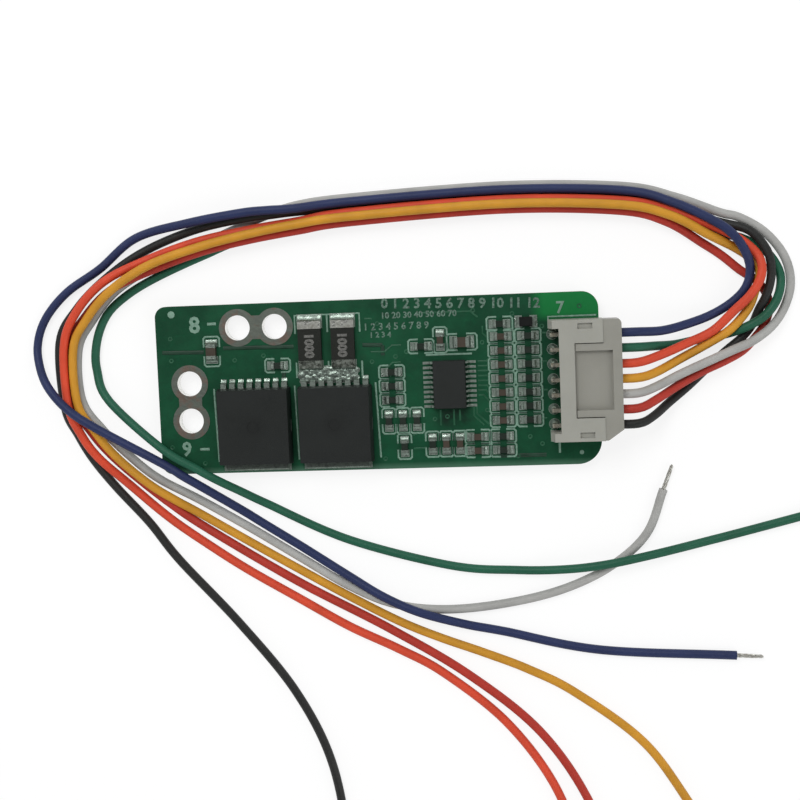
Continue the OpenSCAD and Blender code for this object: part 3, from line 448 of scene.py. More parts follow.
FIRST_RED_ROUTE = (
    (37, -3, 3.8), (39.8, -1.4, 2.6), (43.2, 0.4, 2), (46.2, 1.7, 1.75), (48.6, 2.9, 0.8),
    (50.2, 4.5, 0.6), (51.5, 6.3, 0.6), (52.1, 8.4, 0.6), (51.7, 10.4, 0.6), (50.4, 12.1, 0.6),
    (48.4, 13.5, 0.6), (46.2, 15.4, 0.6), (43.8, 17.1, 0.6), (38.9, 20.2, 1.6),
    (32.7, 21.9, 1.8), (17.5, 22.7, 1.8), (-2.9, 21.9, 1.8), (-9.8, 21.1, 1.8),
    (-16.8, 20.1, 1.8), (-23.6, 18.7, 1.85), (-30.5, 16.5, 1.85), (-36.2, 14.1, 1.9),
    (-40.3, 10.5, 1.2), (-42.9, 6.5, 0.6), (-42.9, -1.5, 0.6), (-40.6, -5.4, 0.6),
    (-38.4, -8.2, 0.6), (-35.3, -11.2, 0.6), (-29.9, -15.7, 0.6), (-24.4, -19.6, 0.6),
    (-12.1, -27.2, 0.6), (0.2, -33.9, 0.6), (11, -40.6, 0.6), (20.4, -48.6, 0.6),
    (26.8, -58.6, 0.6), (30, -69.6, 0.6))
WHITE_ROUTE = (
    (37.2, -1.2, 3.9), (40.4, 0.3, 3.4), (46.6, 2.9, 2.8), (50, 4.3, 2), (52.7, 6.4, 1.4),
    (54.4, 9.2, 0.6), (54.9, 12.2, 0.6), (54, 15.4, 0.6), (51.6, 18.4, 0.6), (48.4, 20.4, 0.6),
    (46, 21.1, 0.6), (40.2, 23.4, 0.6), (33.4, 25.1, 0.6), (17.5, 25.9, 0.6), (-3.2, 25.2, 0.6),
    (-10.3, 24.5, 0.6), (-13.7, 23.5, 0.6), (-17.2, 22.3, 0.6), (-23.9, 19.6, 0.6),
    (-30.7, 16.9, 0.6), (-36, 13.8, 0.6), (-39.5, 9.9, 0.6), (-41.7, 6, 0.6),
    (-41.6, -1, 0.6), (-38.8, -5.3, 0.6), (-35, -9.2, 0.6), (-31.2, -12.3, 0.6),
    (-25.5, -15.4, 0.6), (-18.7, -19.4, 0.6), (-12, -23.6, 0.6), (-5.2, -27.8, 0.6),
    (0.8, -30.4, 0.6), (7.5, -31.3, 0.6), (15.4, -30.7, 0.6), (23.6, -28.9, 0.6),
    (30.4, -25.8, 0.6), (35.4, -21.4, 0.6), (37.8, -15.4, 0.6))
YELLOW_ROUTE = (
    (37, 0.6, 4), (40.4, 2.2, 2.4), (44.3, 4.2, 1.9), (47, 5.9, 2.25), (49.3, 8.5, 1.8),
    (50.2, 10.8, 1.9), (50.8, 12.5, 1.8), (50.5, 14.3, 0.9), (48.2, 16.2, 0.6),
    (44.4, 18.2, 2.4), (39.3, 21, 2.9), (32.9, 22.6, 2.95), (17.5, 23.4, 2.95),
    (-3, 22.6, 2.95), (-9.9, 21.9, 2.95), (-16.9, 20.8, 2.95), (-23.8, 19.3, 3),
    (-30.7, 17.1, 3.1), (-36, 13.9, 3.2), (-39.8, 10.1, 2.4), (-42, 6.2, 1.85),
    (-41.9, -1.2, 1.85), (-39.8, -5.1, 1.85), (-36.8, -8.9, 1.85), (-32.5, -12.7, 1.85),
    (-29, -15.1, 1.5), (-25.7, -17.2, 0.8), (-18.8, -21.4, 0.6), (-12, -25.4, 0.6),
    (-5.2, -29.3, 0.6), (1.6, -32.9, 0.6), (7, -35.2, 0.6), (13, -37.4, 0.6), (19, -39.8, 0.6),
    (25.4, -43.2, 0.6), (34.6, -50.4, 0.6), (41.4, -60.4, 0.6))
SECOND_RED_ROUTE = (
    (37.8, 2.9, 4), (41.2, 4.2, 2.8), (44.6, 5.7, 2.3), (47.2, 8.1, 2.7), (49.6, 10.4, 3),
    (50.9, 12.8, 3), (50.7, 15.2, 2.1), (48.4, 17.5, 1.85), (45, 19.3, 1.85), (39.5, 21.6, 1.8),
    (33, 23.2, 1.8), (17.5, 24, 1.8), (-3, 23.2, 1.8), (-10, 22.3, 1.8), (-17, 21.4, 1.85),
    (-24.1, 20.1, 1.85), (-31.1, 17.9, 2), (-37, 15.2, 2.6), (-41.1, 11.2, 2.5),
    (-43.3, 6.6, 1.85), (-43.2, -1.6, 1.85), (-41.7, -5.5, 1.85), (-39.4, -9, 1.6),
    (-35.3, -13.1, 0.7), (-30, -17.8, 0.6), (-24.5, -21.8, 0.6), (-19.1, -25.4, 0.6),
    (-12.2, -29.5, 0.6), (-5.4, -33.5, 0.6), (1.4, -36.8, 0.6), (7.4, -40.2, 0.6),
    (15.6, -47, 0.6), (21.8, -55.6, 0.6), (25.2, -65, 0.6), (26.4, -73.4, 0.6))
GREEN_ROUTE = (
    (37, 4, 3.2), (39.6, 4, 1.6), (42.2, 4.4, 0.6), (45.2, 4.9, 0.6), (47, 5.3, 1.1),
    (48.9, 6, 1.9), (51.2, 7.3, 2.1), (52.8, 9.2, 1.9), (53.6, 11.4, 0.9), (53.4, 13.4, 0.6),
    (51.8, 15.8, 0.6), (48.6, 17.7, 0.6), (44.7, 18.7, 0.6), (39.3, 21, 0.6), (32.9, 22.6, 0.6),
    (17.5, 23.3, 0.6), (-2.9, 22.5, 0.6), (-16.8, 20.4, 0.6), (-23.5, 18.2, 0.6),
    (-30.4, 15.4, 0.6), (-34.6, 13.1, 0.6), (-37.4, 10.6, 0.6), (-39, 7, 0.6), (-39.2, 3, 0.6),
    (-37.4, -1.2, 1.6), (-30, -7.8, 3), (-25.2, -10.8, 3), (-22.3, -12.5, 2.8),
    (-19.8, -14, 1.8), (-15.8, -16.3, 0.6), (-4.9, -21.4, 0.6), (8.8, -25.2, 0.6),
    (17.5, -26, 0.6), (24, -25.9, 1.4), (29.5, -25.3, 1.9), (35.5, -24.2, 1.6),
    (44, -22.4, 0.6), (58.4, -18.8, 0.6))
BLUE_ROUTE = (
    (37.9, 6, 3.6), (41, 6.6, 2.2), (44.4, 7.7, 1.4), (47.2, 9.3, 1.5), (49, 11.2, 1.9),
    (49.6, 13.5, 2), (49, 15.7, 2.8), (47.6, 17.9, 3.1), (45.3, 19.8, 3), (39.9, 22.6, 2.5),
    (33.3, 24.5, 1.8), (17.5, 25.3, 1.8), (-3.1, 24.6, 2), (-10.2, 24, 2.85),
    (-13.8, 23.9, 3.1), (-17.4, 23.7, 3.1), (-24.8, 22.7, 2.3), (-32.6, 21, 0.9),
    (-38, 17, 0.6), (-42.8, 14, 0.6), (-46, 10.6, 0.6), (-47.4, 7.2, 0.6), (-47.2, 4.2, 1.2),
    (-45.7, 1.2, 2.7), (-43.1, -1.9, 3.1), (-39.3, -4.6, 3.1), (-29.8, -10, 3),
    (-27.2, -11.7, 3), (-24.5, -13.5, 2.4), (-18.7, -17.6, 0.6), (-11.9, -22, 0.6),
    (-5.1, -26.4, 1), (-0.4, -29.2, 1.7), (4.5, -31.4, 1.9), (10.5, -33.3, 1), (16, -34.5, 0.6),
    (28.8, -37.2, 0.6), (47, -38.2, 0.6))
WIRES = (
    ("wire_1_black", "black", BLACK_ROUTE),
    ("wire_2_red", "red", FIRST_RED_ROUTE),
    ("wire_3_white", "white", WHITE_ROUTE),
    ("wire_4_yellow", "yellow", YELLOW_ROUTE),
    ("wire_5_red", "light_red", SECOND_RED_ROUTE),
    ("wire_6_green", "green", GREEN_ROUTE),
    ("wire_7_blue", "blue", BLUE_ROUTE))
IN_PLUG = 1.8 * MM
SMOOTH_PITCH = 0.7 * MM
STRANDS = 7
STRAND_POINTS = 19
STRAND_TURNS = 0.8


def on_curve(a, b, c, d, t):
    """Point the part t of the way from b to c, on a smooth curve through a, b, c and d."""
    return (b + (c - a) * t / 2 + (2 * a - 5 * b + 4 * c - d) * t * t / 2
            + (3 * b - a - 3 * c + d) * t * t * t / 2)


def wire_line(number, route, settings):
    """Centre line of a wire: straight out of the plug, then along its route."""
    y = (number - (len(WIRES) - 1) / 2) * PIN_PITCH
    points = [Vector((x, y, PIN_Z)) for x in (MOUTH_X - IN_PLUG, MOUTH_X + settings.straight)]
    points += [Vector(p) * MM for p in route]
    ends = [2 * points[0] - points[1]] + points + [2 * points[-1] - points[-2]]
    line = []
    for k in range(len(points) - 1):
        steps = max(1, round((points[k + 1] - points[k]).length / SMOOTH_PITCH))
        line += [on_curve(*ends[k:k + 4], j / steps) for j in range(steps)]
    line.append(points[-1])
    for point in line:
        point.z = max(point.z, settings.diameter / 2)
    return line


def insulation(name, base):
    """Soft extruded insulation: satin, with faint dust and rub marks."""
    finish = Finish(name)
    drift = finish.noise(4 * MM, 3)
    fine = finish.noise(0.25 * MM, 3, 0.6)
    shade = finish.mix(finish.steps(drift, 0.3, 0.7), tone(base, 0.88), tone(base, 1.1))
    dusty = tuple(0.8 * c + 0.05 for c in base)
    finish.paint(finish.mix(finish.steps(fine, 0.58, 0.75, 0, 0.4), shade, dusty))
    finish.gloss(fine, 0.42, 0.58)
    finish.relief(fine, 0.012 * MM)
    finish.shader.inputs["Specular IOR Level"].default_value = 0.25
    return finish.material


class BOARD_OT_wires(bpy.types.Operator):
    """Seven loose wires at their real length, from the plug to their bare ends"""

    bl_idname = "battery_board.wires"
    bl_label = "Wires"

    def execute(self, context):
        settings = context.scene.board_wires
        for number, (node, shade, route) in enumerate(WIRES):
            line = wire_line(number, route, settings)
            cord = beads(node.replace("wire_", "lead_"), [line], settings.diameter, 3)
            cord.data.materials.append(
                insulation(node + "_insulation", getattr(settings, shade)))
            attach(cord, "root")
            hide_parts(node)
        return {"FINISHED"}


def strand_line(number, settings):
    """Centre line of one twisted strand, along X; the last strand is the straight core."""
    out = 0 if number == STRANDS - 1 else settings.strand
    reach = settings.bare * (1 - 0.05 * (number % 3))
    line = []
    for k in range(STRAND_POINTS):
        part = k / (STRAND_POINTS - 1)
        angle = number * math.tau / (STRANDS - 1) + part * math.tau * STRAND_TURNS
        gather = out * (1 - 0.25 * part ** 2)
        line.append((part * reach, gather * math.cos(angle), gather * math.sin(angle)))
    return line


class BOARD_OT_wire_ends(bpy.types.Operator):
    """Twisted tinned strands that stand out of each wire's free end"""

    bl_idname = "battery_board.wire_ends"
    bl_label = "Bare wire ends"

    def execute(self, context):
        settings = context.scene.board_wires
        finish = metal("tinned_strands", screen(196, 196, 190), 0.25 * MM, 0.02 * MM, 0.3,
                       screen(150, 146, 138))
        pattern = as_mesh(beads(
            "strands", [strand_line(k, settings) for k in range(STRANDS)], settings.strand, 2))
        places = []
        for number, (_, _, route) in enumerate(WIRES):
            line = wire_line(number, route, settings)
            way = line[-1] - line[-2]
            places.append((*line[-1], math.atan2(way.y, way.x)))
        ends = joined(copies(pattern, places))
        bpy.ops.object.shade_smooth_by_angle(angle=math.radians(50))
        settle(ends, "twisted_wire_ends", finish.material)
        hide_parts("wire_tips")
        return {"FINISHED"}


# ---- bare board ----

# Two corners of the darker patch painted on the mask beside the monitor chip, x and y in metres.
DARK_PATCH_LOW = (8 * MM, -5.9 * MM)
DARK_PATCH_HIGH = (12.4 * MM, -3.2 * MM)


def mask_finish(settings):
    """Green mask over copper and glass cloth, and the bare cut edge of the laminate."""
    finish = Finish("solder_mask")
    drift = finish.noise(5 * MM, 4, 0.6)
    mottle = finish.noise(0.9 * MM, 4, 0.6)
    fine = finish.noise(0.12 * MM, 2)
    green = finish.mix(finish.steps(drift, 0.35, 0.65), settings.mask_shade, settings.mask)
    green = finish.mix(
        finish.steps(mottle, 0.5, 0.72, 0, 0.35), green, tone(settings.mask_shade, 0.85))
    green = finish.mix(
        finish.steps(mottle, 0.42, 0.3, 0, 0.3), green, tone(settings.mask, 1.25))
    corner_x = finish.steps(finish.axis("X"), 20.6 * MM, 22.6 * MM)
    corner_y = finish.steps(finish.axis("Y"), 7.6 * MM, 8.8 * MM)
    corner = finish.math("MULTIPLY", corner_x, corner_y)
    green = finish.mix(finish.math("MULTIPLY", corner, 0.9), green, settings.mask_fresh)
    near_side = finish.steps(finish.axis("Y"), -10.6 * MM, -11.3 * MM, 0, 0.45)
    green = finish.mix(near_side, green, screen(92, 128, 108))
    # The mask is painted darker in a mottled patch beside the monitor chip.
    dark_patch = finish.math(
        "MULTIPLY", finish.box_share(DARK_PATCH_LOW, DARK_PATCH_HIGH, 0.9 * MM),
        finish.steps(mottle, 0.3, 0.6, 0.5, 1))
    green = finish.mix(dark_patch, green, screen(18, 38, 28))
    cloth = finish.noise(0.4 * MM, 2, vector=finish.stretched(0.25, 0.25, 2.5))
    edge = finish.mix(
        finish.steps(cloth, 0.4, 0.6), tone(settings.laminate, 0.7), settings.laminate)
    finish.paint(finish.mix(finish.steps(finish.facing_up(), 0.3, 0.6), edge, green))
    finish.gloss(mottle, 0.3, 0.42)
    weave = finish.math("ADD", fine, finish.math("MULTIPLY", mottle, 2.0))
    finish.relief(weave, 0.012 * MM)
    finish.shader.inputs["Specular IOR Level"].default_value = 0.16
    return finish


class BOARD_OT_bare_board(bpy.types.Operator):
    """Solder mask, cut edges, and the copper tracks that stand out under the mask"""

    bl_idname = "battery_board.bare_board"
    bl_label = "Bare board"

    def execute(self, context):
        settings = context.scene.board_looks
        clothe(mask_finish(settings).material, "circuit_board")
        top = BOARD_HIGH.z
        under = thin_mask("mask_over_track", 1.2 * MM, tone(settings.mask, 0.95),
                          tone(settings.mask, 1.3), 0.3, 0.42)
        tracks = flat_lines(in_metres(TRACKS), settings.track_width, 0.02 * MM, top)
        settle(tracks, "copper_tracks", under)
        gap = thin_mask("mask_over_gap", 1.5 * MM, tone(settings.mask_shade, 0.55),
                        tone(settings.mask_shade, 0.85), 0.35, 0.5)
        gaps = flat_lines(in_metres(COPPER_GAPS), 0.55 * MM, 0.008 * MM, top)
        settle(gaps, "copper_gaps", gap)
        bpy.ops.mesh.primitive_cylinder_add(vertices=14, radius=0.32 * MM, depth=0.04 * MM)
        via = context.view_layer.objects.active
        bpy.ops.object.mode_set(mode="EDIT")
        bpy.ops.mesh.select_all(action="DESELECT")
        bpy.ops.object.mode_set(mode="OBJECT")
        for face in via.data.polygons:
            face.select = face.normal.z > 0.9
        bpy.ops.object.mode_set(mode="EDIT")
        bpy.ops.mesh.inset(thickness=0.1 * MM, depth=0)
        bpy.ops.mesh.inset(thickness=0.07 * MM, depth=-0.03 * MM)
        bpy.ops.object.mode_set(mode="OBJECT")
        vias = joined(copies(via, [(x * MM, y * MM, top, 0) for x, y in VIAS]))
        settle(vias, "tented_vias", under)
        return {"FINISHED"}


# Lines of the layout in millimetres, on the board's face.
TRACKS = (
    ((3.3, 2.9), (2.2, 2.9), (1.4, 2.1)), ((3.3, 1.65), (2.4, 1.65), (1.7, 1.0)),
    ((13.6, 2.7), (14.8, 2.7), (15.3, 3.2)), ((13.6, 2.05), (15.2, 2.05), (15.6, 2.3)),
    ((13.6, 1.4), (15.3, 1.4)), ((13.6, 0.75), (15.2, 0.75), (15.5, 0.45)),
    ((13.6, 0.1), (14.9, 0.1), (15.4, -0.5)), ((13.6, -0.55), (14.8, -0.55), (15.3, -1.2)),
    ((13.6, -1.2), (14.6, -1.2), (15.3, -2.0)), ((13.6, -1.85), (14.3, -1.85), (15.2, -3.0)),
    ((12.9, -3.3), (12.9, -4.6), (14.2, -5.9)), ((13.3, -3.2), (13.3, -4.3), (14.9, -5.8)),
    ((8.4, -3.7), (8.4, -5.8)), ((10.2, -3.7), (10.2, -5.8)), ((11, -3.7), (11, -5.2)),
    ((-0.7, 4.4), (1.2, 4.4), (2.2, 5.2), (3.4, 5.2)), ((-1.4, 8.9), (-0.4, 8.9)),
    ((6.2, 9.4), (12.8, 9.4), (13.8, 8.6)), ((15.2, 5.6), (14.4, 6.4), (14.4, 7.4)),
    ((4.6, -8.8), (6.4, -8.8)), ((4.6, -7), (6.2, -6.4)), ((21.6, 6.2), (22.8, 6.2)),
    ((21.6, -5.2), (22.6, -5.2)), ((21.8, 2.4), (22.8, 2.4)), ((21.8, -1.4), (22.8, -1.4)))
COPPER_GAPS = (
    ((-29.4, 5.25), (-23.6, 5.15)), ((-20.9, 5.6), (-11.2, 5.5)), ((-1.8, 5.4), (0.9, 5.3)),
    ((0.9, 5.3), (0.9, 3.9)), ((-12.7, 2.2), (-12.7, 0.2)), ((1.6, 9.1), (1.6, 9.6)),
    ((16.2, -10.1), (22.4, -10.1)))
VIAS = (
    (-28.2, 7.1), (-28.2, 4.1), (-19.4, 3.9), (-15.4, 4.4), (-14.2, 3.9), (-0.6, 3.1),
    (0.3, 8.2), (2.6, 3.7), (4.1, 4.3), (15.6, 6.3), (14.3, 5.2), (14.7, -3.9), (15.6, -4.6),
    (7.6, -4.9), (9.3, -4.6), (0.7, -10.1), (18.6, -10.2), (22.3, 7.1), (20.3, -7.6),
    (21.9, -8.6), (27.3, 9.6), (-24.2, -10.1), (-28.7, -7.8), (13.2, 9.5), (18.4, 8.9))


# ---- printed legend ----

# Places of the loose chips in millimetres: from the connector end of the board, from its
# centre line, and turn in degrees.
SMALL_CHIPS = (
    (43.3, 3, 0), (27.8, 1.6, 0), (27.8, -0.27, 0), (27.8, -2.14, 0), (28.4, -5, 90),
    (26.5, -5, 90), (24.6, -5, 90), (26.4, -8.5, 90), (22.6, -8.3, 90), (20.75, -8.3, 90),
    (18.9, -8.3, 90), (16.5, -7.45, 0), (16.5, -9.3, 0), (13.1, -7.45, 0), (13.1, -9.3, 0),
    (23.7, 4.95, 0), (21.1, 5.7, 90), (13.1, 7.6, 0))
LARGE_CHIPS = ((52.3, 5.2, 90), (18.2, 5.35, 0))
CELL_COLUMNS = (13, 9.4)
CELL_ROWS = 7
CELL_PITCH = 1.87
CELL_MIDDLE = 0.3

# Single lines of the print, and the line along the header's rear, in millimetres.
OUTLINES = (
    ((-22.45, 0.1), (-22.2, -9.9)), ((-11.3, 0.2), (-11.1, -9.9)), ((-0.25, 0.3), (0.1, -9.9)),
    ((-10.9, 7.2), (-10.9, 9.65), (-2.1, 9.7), (-2.1, 7.2)), ((-6.5, 9.6), (-6.5, 7.3)),
    ((-10.9, 3.3), (-10.9, 1.2)), ((-6.5, 3.4), (-6.5, 1.4)), ((-1.95, 3.3), (-1.95, 1)),
    ((6.7, 3.75), (12.9, 3.75)))
HEADER_REAR = 23.15
DASHES = (((-22.95, 8.95), (-21.75, 8.95)), ((-24.8, -8.15), (-23.5, -8.15)))
# Dots: x, y and radius in millimetres.
DOTS = ((-27.9, 10.4, 0.5), (27.1, -9.9, 0.3))
# Plain digits: text, height, x and y of the lower left corner in millimetres, turn in
# degrees, and by how many millimetres a stroke is fattened.
MARKS = (
    ("8", 2.2, -25.5, 7.85, 0, 0.09), ("9", 1.9, -27.3, -8.95, 0, 0.08),
    ("7", 1.6, 24.2, 8.75, 0, 0.05), ("1", 1.4, 23.7, -9.85, 0, 0.05))
NUMBER_ROWS = (
    ("0 1 2 3 4 5 6 7 8 9 10 11 12", 1.35, 0.9, 10.25, -1.8, 0.05),
    ("10 20 30 40 50 60 70", 0.85, 0.8, 8.85, 0, 0.03),
    ("1 2 3 4 5 6 7 8 9", 0.95, -1.6, 7.35, 0, 0.03), ("1 2 3 4", 0.75, -0.8, 6.35, 0, 0.03))


def bracket(place, half_l, half_w, gap):
    """Two square brackets round the ends of a chip at (from the end, y, turn)."""
    from_end, y, turn = place
    spin = Matrix.Rotation(math.radians(turn), 2)
    middle = Vector((BOARD_HIGH.x / MM - from_end, y))
    cut = 0.25
    lines = []
    for side in (-1, 1):
        shape = ((gap, half_w), (half_l - cut, half_w), (half_l, half_w - cut),
                 (half_l, cut - half_w), (half_l - cut, -half_w), (gap, -half_w))
        lines.append([tuple((middle + spin @ Vector((side * x, v))) * MM) for x, v in shape])
    return lines


def legend_lines():
    """Every printed line on the board, in metres."""
    lines = []
    cells = [(column, CELL_MIDDLE + (row - (CELL_ROWS - 1) / 2) * CELL_PITCH, 0)
             for column in CELL_COLUMNS for row in range(CELL_ROWS)]
    for place in SMALL_CHIPS + tuple(cells):
        lines += bracket(place, 1.72, 0.92, 0.42)
    for place in LARGE_CHIPS:
        lines += bracket(place, 2.02, 1.08, 0.6)
    low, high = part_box("header_housing")
    rear, end = HEADER_REAR * MM, BOARD_HIGH.x - 0.3 * MM
    lines += in_metres(OUTLINES)
    for side, out in ((low.y, -1), (high.y, 1)):
        edge = side + out * 0.35 * MM
        lines.append([(rear, side - out * 1.2 * MM), (rear, edge), (end, edge)])
    return lines


def printed(table, settings):
    """The plain digits of a table, on the board's face."""
    return [
        digits(text, size * MM, (x * MM, y * MM, BOARD_HIGH.z), math.radians(turn),
               settings.ink_height, heavy * MM)
        for text, size, x, y, turn, heavy in table]


class BOARD_OT_legend(bpy.types.Operator):
    """Pale printed outlines, polarity dashes and plain digits"""

    bl_idname = "battery_board.legend"
    bl_label = "Printed legend"

    def execute(self, context):
        settings = context.scene.board_looks
        top = BOARD_HIGH.z
        ink = worn_ink("legend_ink", 0.35 * MM, 0.35, 0.7, tone(settings.ink, 1.08),
                       tone(settings.ink, 0.72), 0.6, 0.008 * MM)
        outlines = flat_lines(legend_lines(), settings.ink_line, settings.ink_height, top)
        dashes = flat_lines(in_metres(DASHES), 0.4 * MM, settings.ink_height, top)
        marks = printed(MARKS, settings)
        rows = printed(NUMBER_ROWS, settings)
        for x, y, size in DOTS:
            bpy.ops.mesh.primitive_cylinder_add(
                vertices=9, radius=size * MM, depth=settings.ink_height * 2,
                location=(x * MM, y * MM, top))
            bpy.ops.object.transform_apply(location=True, rotation=True, scale=True)
            marks.append(context.view_layer.objects.active)
        settle(joined([outlines, dashes] + marks), "printed_legend", ink)
        thin = worn_ink("worn_legend_ink", 0.28 * MM, 0.4, 0.62, tone(settings.ink, 0.75),
                        tone(settings.ink, 0.25))
        settle(joined(rows), "worn_number_rows", thin)
        return {"FINISHED"}


# ---- power rings, solder and leads ----


class BOARD_OT_power_rings(bpy.types.Operator):
    """Rough thin tin on the rings of the power holes, with copper showing through"""

    bl_idname = "battery_board.power_rings"
    bl_label = "Power rings"

    def execute(self, context):
        settings = context.scene.board_parts
        finish = metal("power_ring_tin", settings.ring, 0.5 * MM, 0.05 * MM, 0.42,
                       tone(settings.ring, 0.72), 0.6)
        tint = finish.noise(1.6 * MM, 3)
        rough_face = finish.mix(
            finish.steps(tint, 0.5, 0.64, 0, 0.6), finish.painted(), settings.copper)
        flat = finish.steps(finish.facing_up(), 0.4, 0.6)
        finish.paint(finish.mix(flat, screen(240, 240, 236), rough_face))
        finish.link(finish.steps(flat, 0, 1, 0.12, 0.5), finish.shader.inputs["Roughness"])
        clothe(finish.material, "battery_power_pads", "charge_and_load_pads")
        return {"FINISHED"}


class BOARD_OT_solder(bpy.types.Operator):
    """Pads, solder joints and tinned leads"""

    bl_idname = "battery_board.solder"
    bl_label = "Solder and leads"

    def execute(self, context):
        settings = context.scene.board_parts
        for name, base, grain, bump, rough, dull, dull_share, nodes in (
                ("solder_joint", settings.solder, 0.3, 0.06, 0.2, 0.6, 0.35,
                 ["transistor_solder", "shunt_solder", "chip_solder", "header_solder"]),
                ("tinned_land", settings.solder, 0.25, 0.03, 0.3, 0.62, 0.4,
                 ["header_pads", "chip_pads"]),
                ("tinned_lead", settings.tin, 0.2, 0.02, 0.26, 0.6, 0.3,
                 [n for n in NODES if n.endswith(("_leads", "_lead"))]),
                ("tinned_end_cap", settings.tin, 0.22, 0.035, 0.24, 0.58, 0.35,
                 [n for n in NODES if n.endswith("_ends") and "shunt" not in n])):
            finish = metal(
                name, base, grain * MM, bump * MM, rough, tone(base, dull), dull_share)
            clothe(finish.material, *nodes)
        # Painted shade: the drain tabs get a much darker tin colour, standing in for the shade
        # that the transistor bodies cast on them.
        tabs_in_painted_shade = metal("drain_tab", tone(settings.tin, 0.5), 0.3 * MM, 0.03 * MM, 0.34,
                     tone(settings.tin, 0.2), 0.4)
        clothe(tabs_in_painted_shade.material, "left_transistor_drain_tab", "right_transistor_drain_tab")
        # Painted highlight: the shunts' upper terminals get a bright tin colour and the lower ones
        # a duller, blotched colour, so the lit upper ends stand out.
        bright = metal("shunt_terminal", screen(205, 207, 200), 0.3 * MM, 0.03 * MM, 0.2,
                       screen(140, 140, 132), 0.2)
        low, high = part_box("left_shunt_ends")
        middle = (low.y + high.y) / 2
        blotch = bright.noise(0.35 * MM, 3, 0.65)
        dull_lower_ends = bright.mix(
            bright.steps(blotch, 0.4, 0.6), screen(88, 94, 86), screen(140, 146, 138))
        near = bright.steps(bright.axis("Y"), middle - 0.5 * MM, middle + 0.5 * MM, 1, 0)
        bright.paint(bright.mix(near, bright.painted(), dull_lower_ends))
        clothe(bright.material, "left_shunt_ends", "right_shunt_ends")
        pins = metal("tinned_pin", screen(188, 184, 170), 0.2 * MM, 0.015 * MM, 0.22,
                     screen(128, 120, 100), 0.25)
        clothe(pins.material, "header_pins", "crimp_terminals")
        return {"FINISHED"}


def solder_pool(name, low, high, height, drops, material):
    """A low lumpy pool of solder between two corners (x, y) on the board's face."""
    chance = random.Random(7)
    lumps = []
    for _ in range(drops):
        size = chance.uniform(0.35, 0.6) * MM
        bpy.ops.mesh.primitive_ico_sphere_add(
            subdivisions=3, radius=size,
            location=(chance.uniform(low[0] + size, high[0] - size),
                      chance.uniform(low[1] + size, high[1] - size), BOARD_HIGH.z))
        lump = bpy.context.view_layer.objects.active
        lump.scale = (1.3, 1, chance.uniform(0.6, 1) * height / size)
        bpy.ops.object.transform_apply(location=True, rotation=True, scale=True)
        lumps.append(lump)
    pool = joined(lumps)
    remesh = pool.modifiers.new("one skin", "REMESH")
    remesh.mode = "VOXEL"
    remesh.voxel_size = 0.07 * MM
    bpy.ops.object.modifier_apply(modifier=remesh.name)
    smooth = pool.modifiers.new("flow", "SMOOTH")
    smooth.factor = 0.6
    smooth.iterations = 4
    bpy.ops.object.modifier_apply(modifier=smooth.name)
    bpy.ops.object.mode_set(mode="EDIT")
    bpy.ops.mesh.select_all(action="SELECT")
    bpy.ops.mesh.bisect(
        plane_co=(0, 0, BOARD_HIGH.z), plane_no=(0, 0, 1), use_fill=True, clear_inner=True)
    bpy.ops.object.mode_set(mode="OBJECT")
    bpy.ops.object.shade_smooth_by_angle(angle=math.radians(60))
    return settle(pool, name, material)


class BOARD_OT_solder_pool(bpy.types.Operator):
    """Lumpy solder that joins the shunts to the leads of the right transistor"""

    bl_idname = "battery_board.solder_pool"
    bl_label = "Solder pool"

    def execute(self, context):
        settings = context.scene.board_parts
        low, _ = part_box("left_shunt_ends")
        _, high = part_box("right_shunt_ends")
        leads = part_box("right_transistor_source_leads")[1].y
        mixed = metal("solder_pool", settings.solder, 0.25 * MM, 0.05 * MM, 0.22,
                      tone(settings.solder, 0.35), 0.5)
        solder_pool(
            "shunt_solder_pool", (low.x - 0.4 * MM, leads - 0.45 * MM),
            (high.x + 0.5 * MM, low.y + 0.35 * MM), 0.3 * MM, 90, mixed.material)
        return {"FINISHED"}


# ---- transistors, shunts and chips ----


class BOARD_OT_transistors(bpy.types.Operator):
    """Dark moulded bodies of the two power transistors"""

    bl_idname = "battery_board.transistors"
    bl_label = "Power transistors"

    def execute(self, context):
        settings = context.scene.board_parts
        for node in ("left_transistor_body", "right_transistor_body"):
            finish = moulded(node + "_mould", settings.mould, 0.09 * MM, 0.03 * MM, 0.5, 0.08)
            low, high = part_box(node)
            middle = (low + high) / 2
            # The middle of each top is painted darker, fading out between 0.6 and 2.4 mm from the
            # centre.
            away = finish.node("ShaderNodeVectorMath", operation="DISTANCE")
            finish.link(finish.place, away.inputs[0])
            away.inputs[1].default_value = (middle.x, middle.y, high.z)
            darker_middle = finish.steps(away.outputs["Value"], 0.6 * MM, 2.4 * MM, 0.5, 0)
            finish.paint(finish.mix(darker_middle, finish.painted(), tone(settings.mould, 0.6)))
            clothe(finish.material, node)
        return {"FINISHED"}


class BOARD_OT_shunts(bpy.types.Operator):
    """Dark coated shunts with a plain printed number"""

    bl_idname = "battery_board.shunts"
    bl_label = "Shunts"

    def execute(self, context):
        settings = context.scene.board_parts
        clothe(moulded("shunt_coating", settings.shunt, 0.16 * MM, 0.04 * MM, 0.5, 0.15).material,
               "left_shunt_body", "right_shunt_body")
        ink = worn_ink("shunt_print", 0.2 * MM, 0.38, 0.62, settings.digits,
                       tone(settings.digits, 0.45))
        words = []
        for node in ("left_shunt_body", "right_shunt_body"):
            low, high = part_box(node)
            middle = (low + high) / 2
            word = digits("1000", 1.2 * MM, (0, 0, 0), 0, 0.015 * MM, 0.09 * MM)
            wide = word.dimensions.x
            word.location = (middle.x - 0.6 * MM, middle.y + wide / 2, high.z)
            word.rotation_euler = (0, 0, -math.pi / 2)
            bpy.ops.object.transform_apply(location=True, rotation=True, scale=True)
            words.append(word)
        settle(joined(words), "shunt_digits", ink)
        return {"FINISHED"}


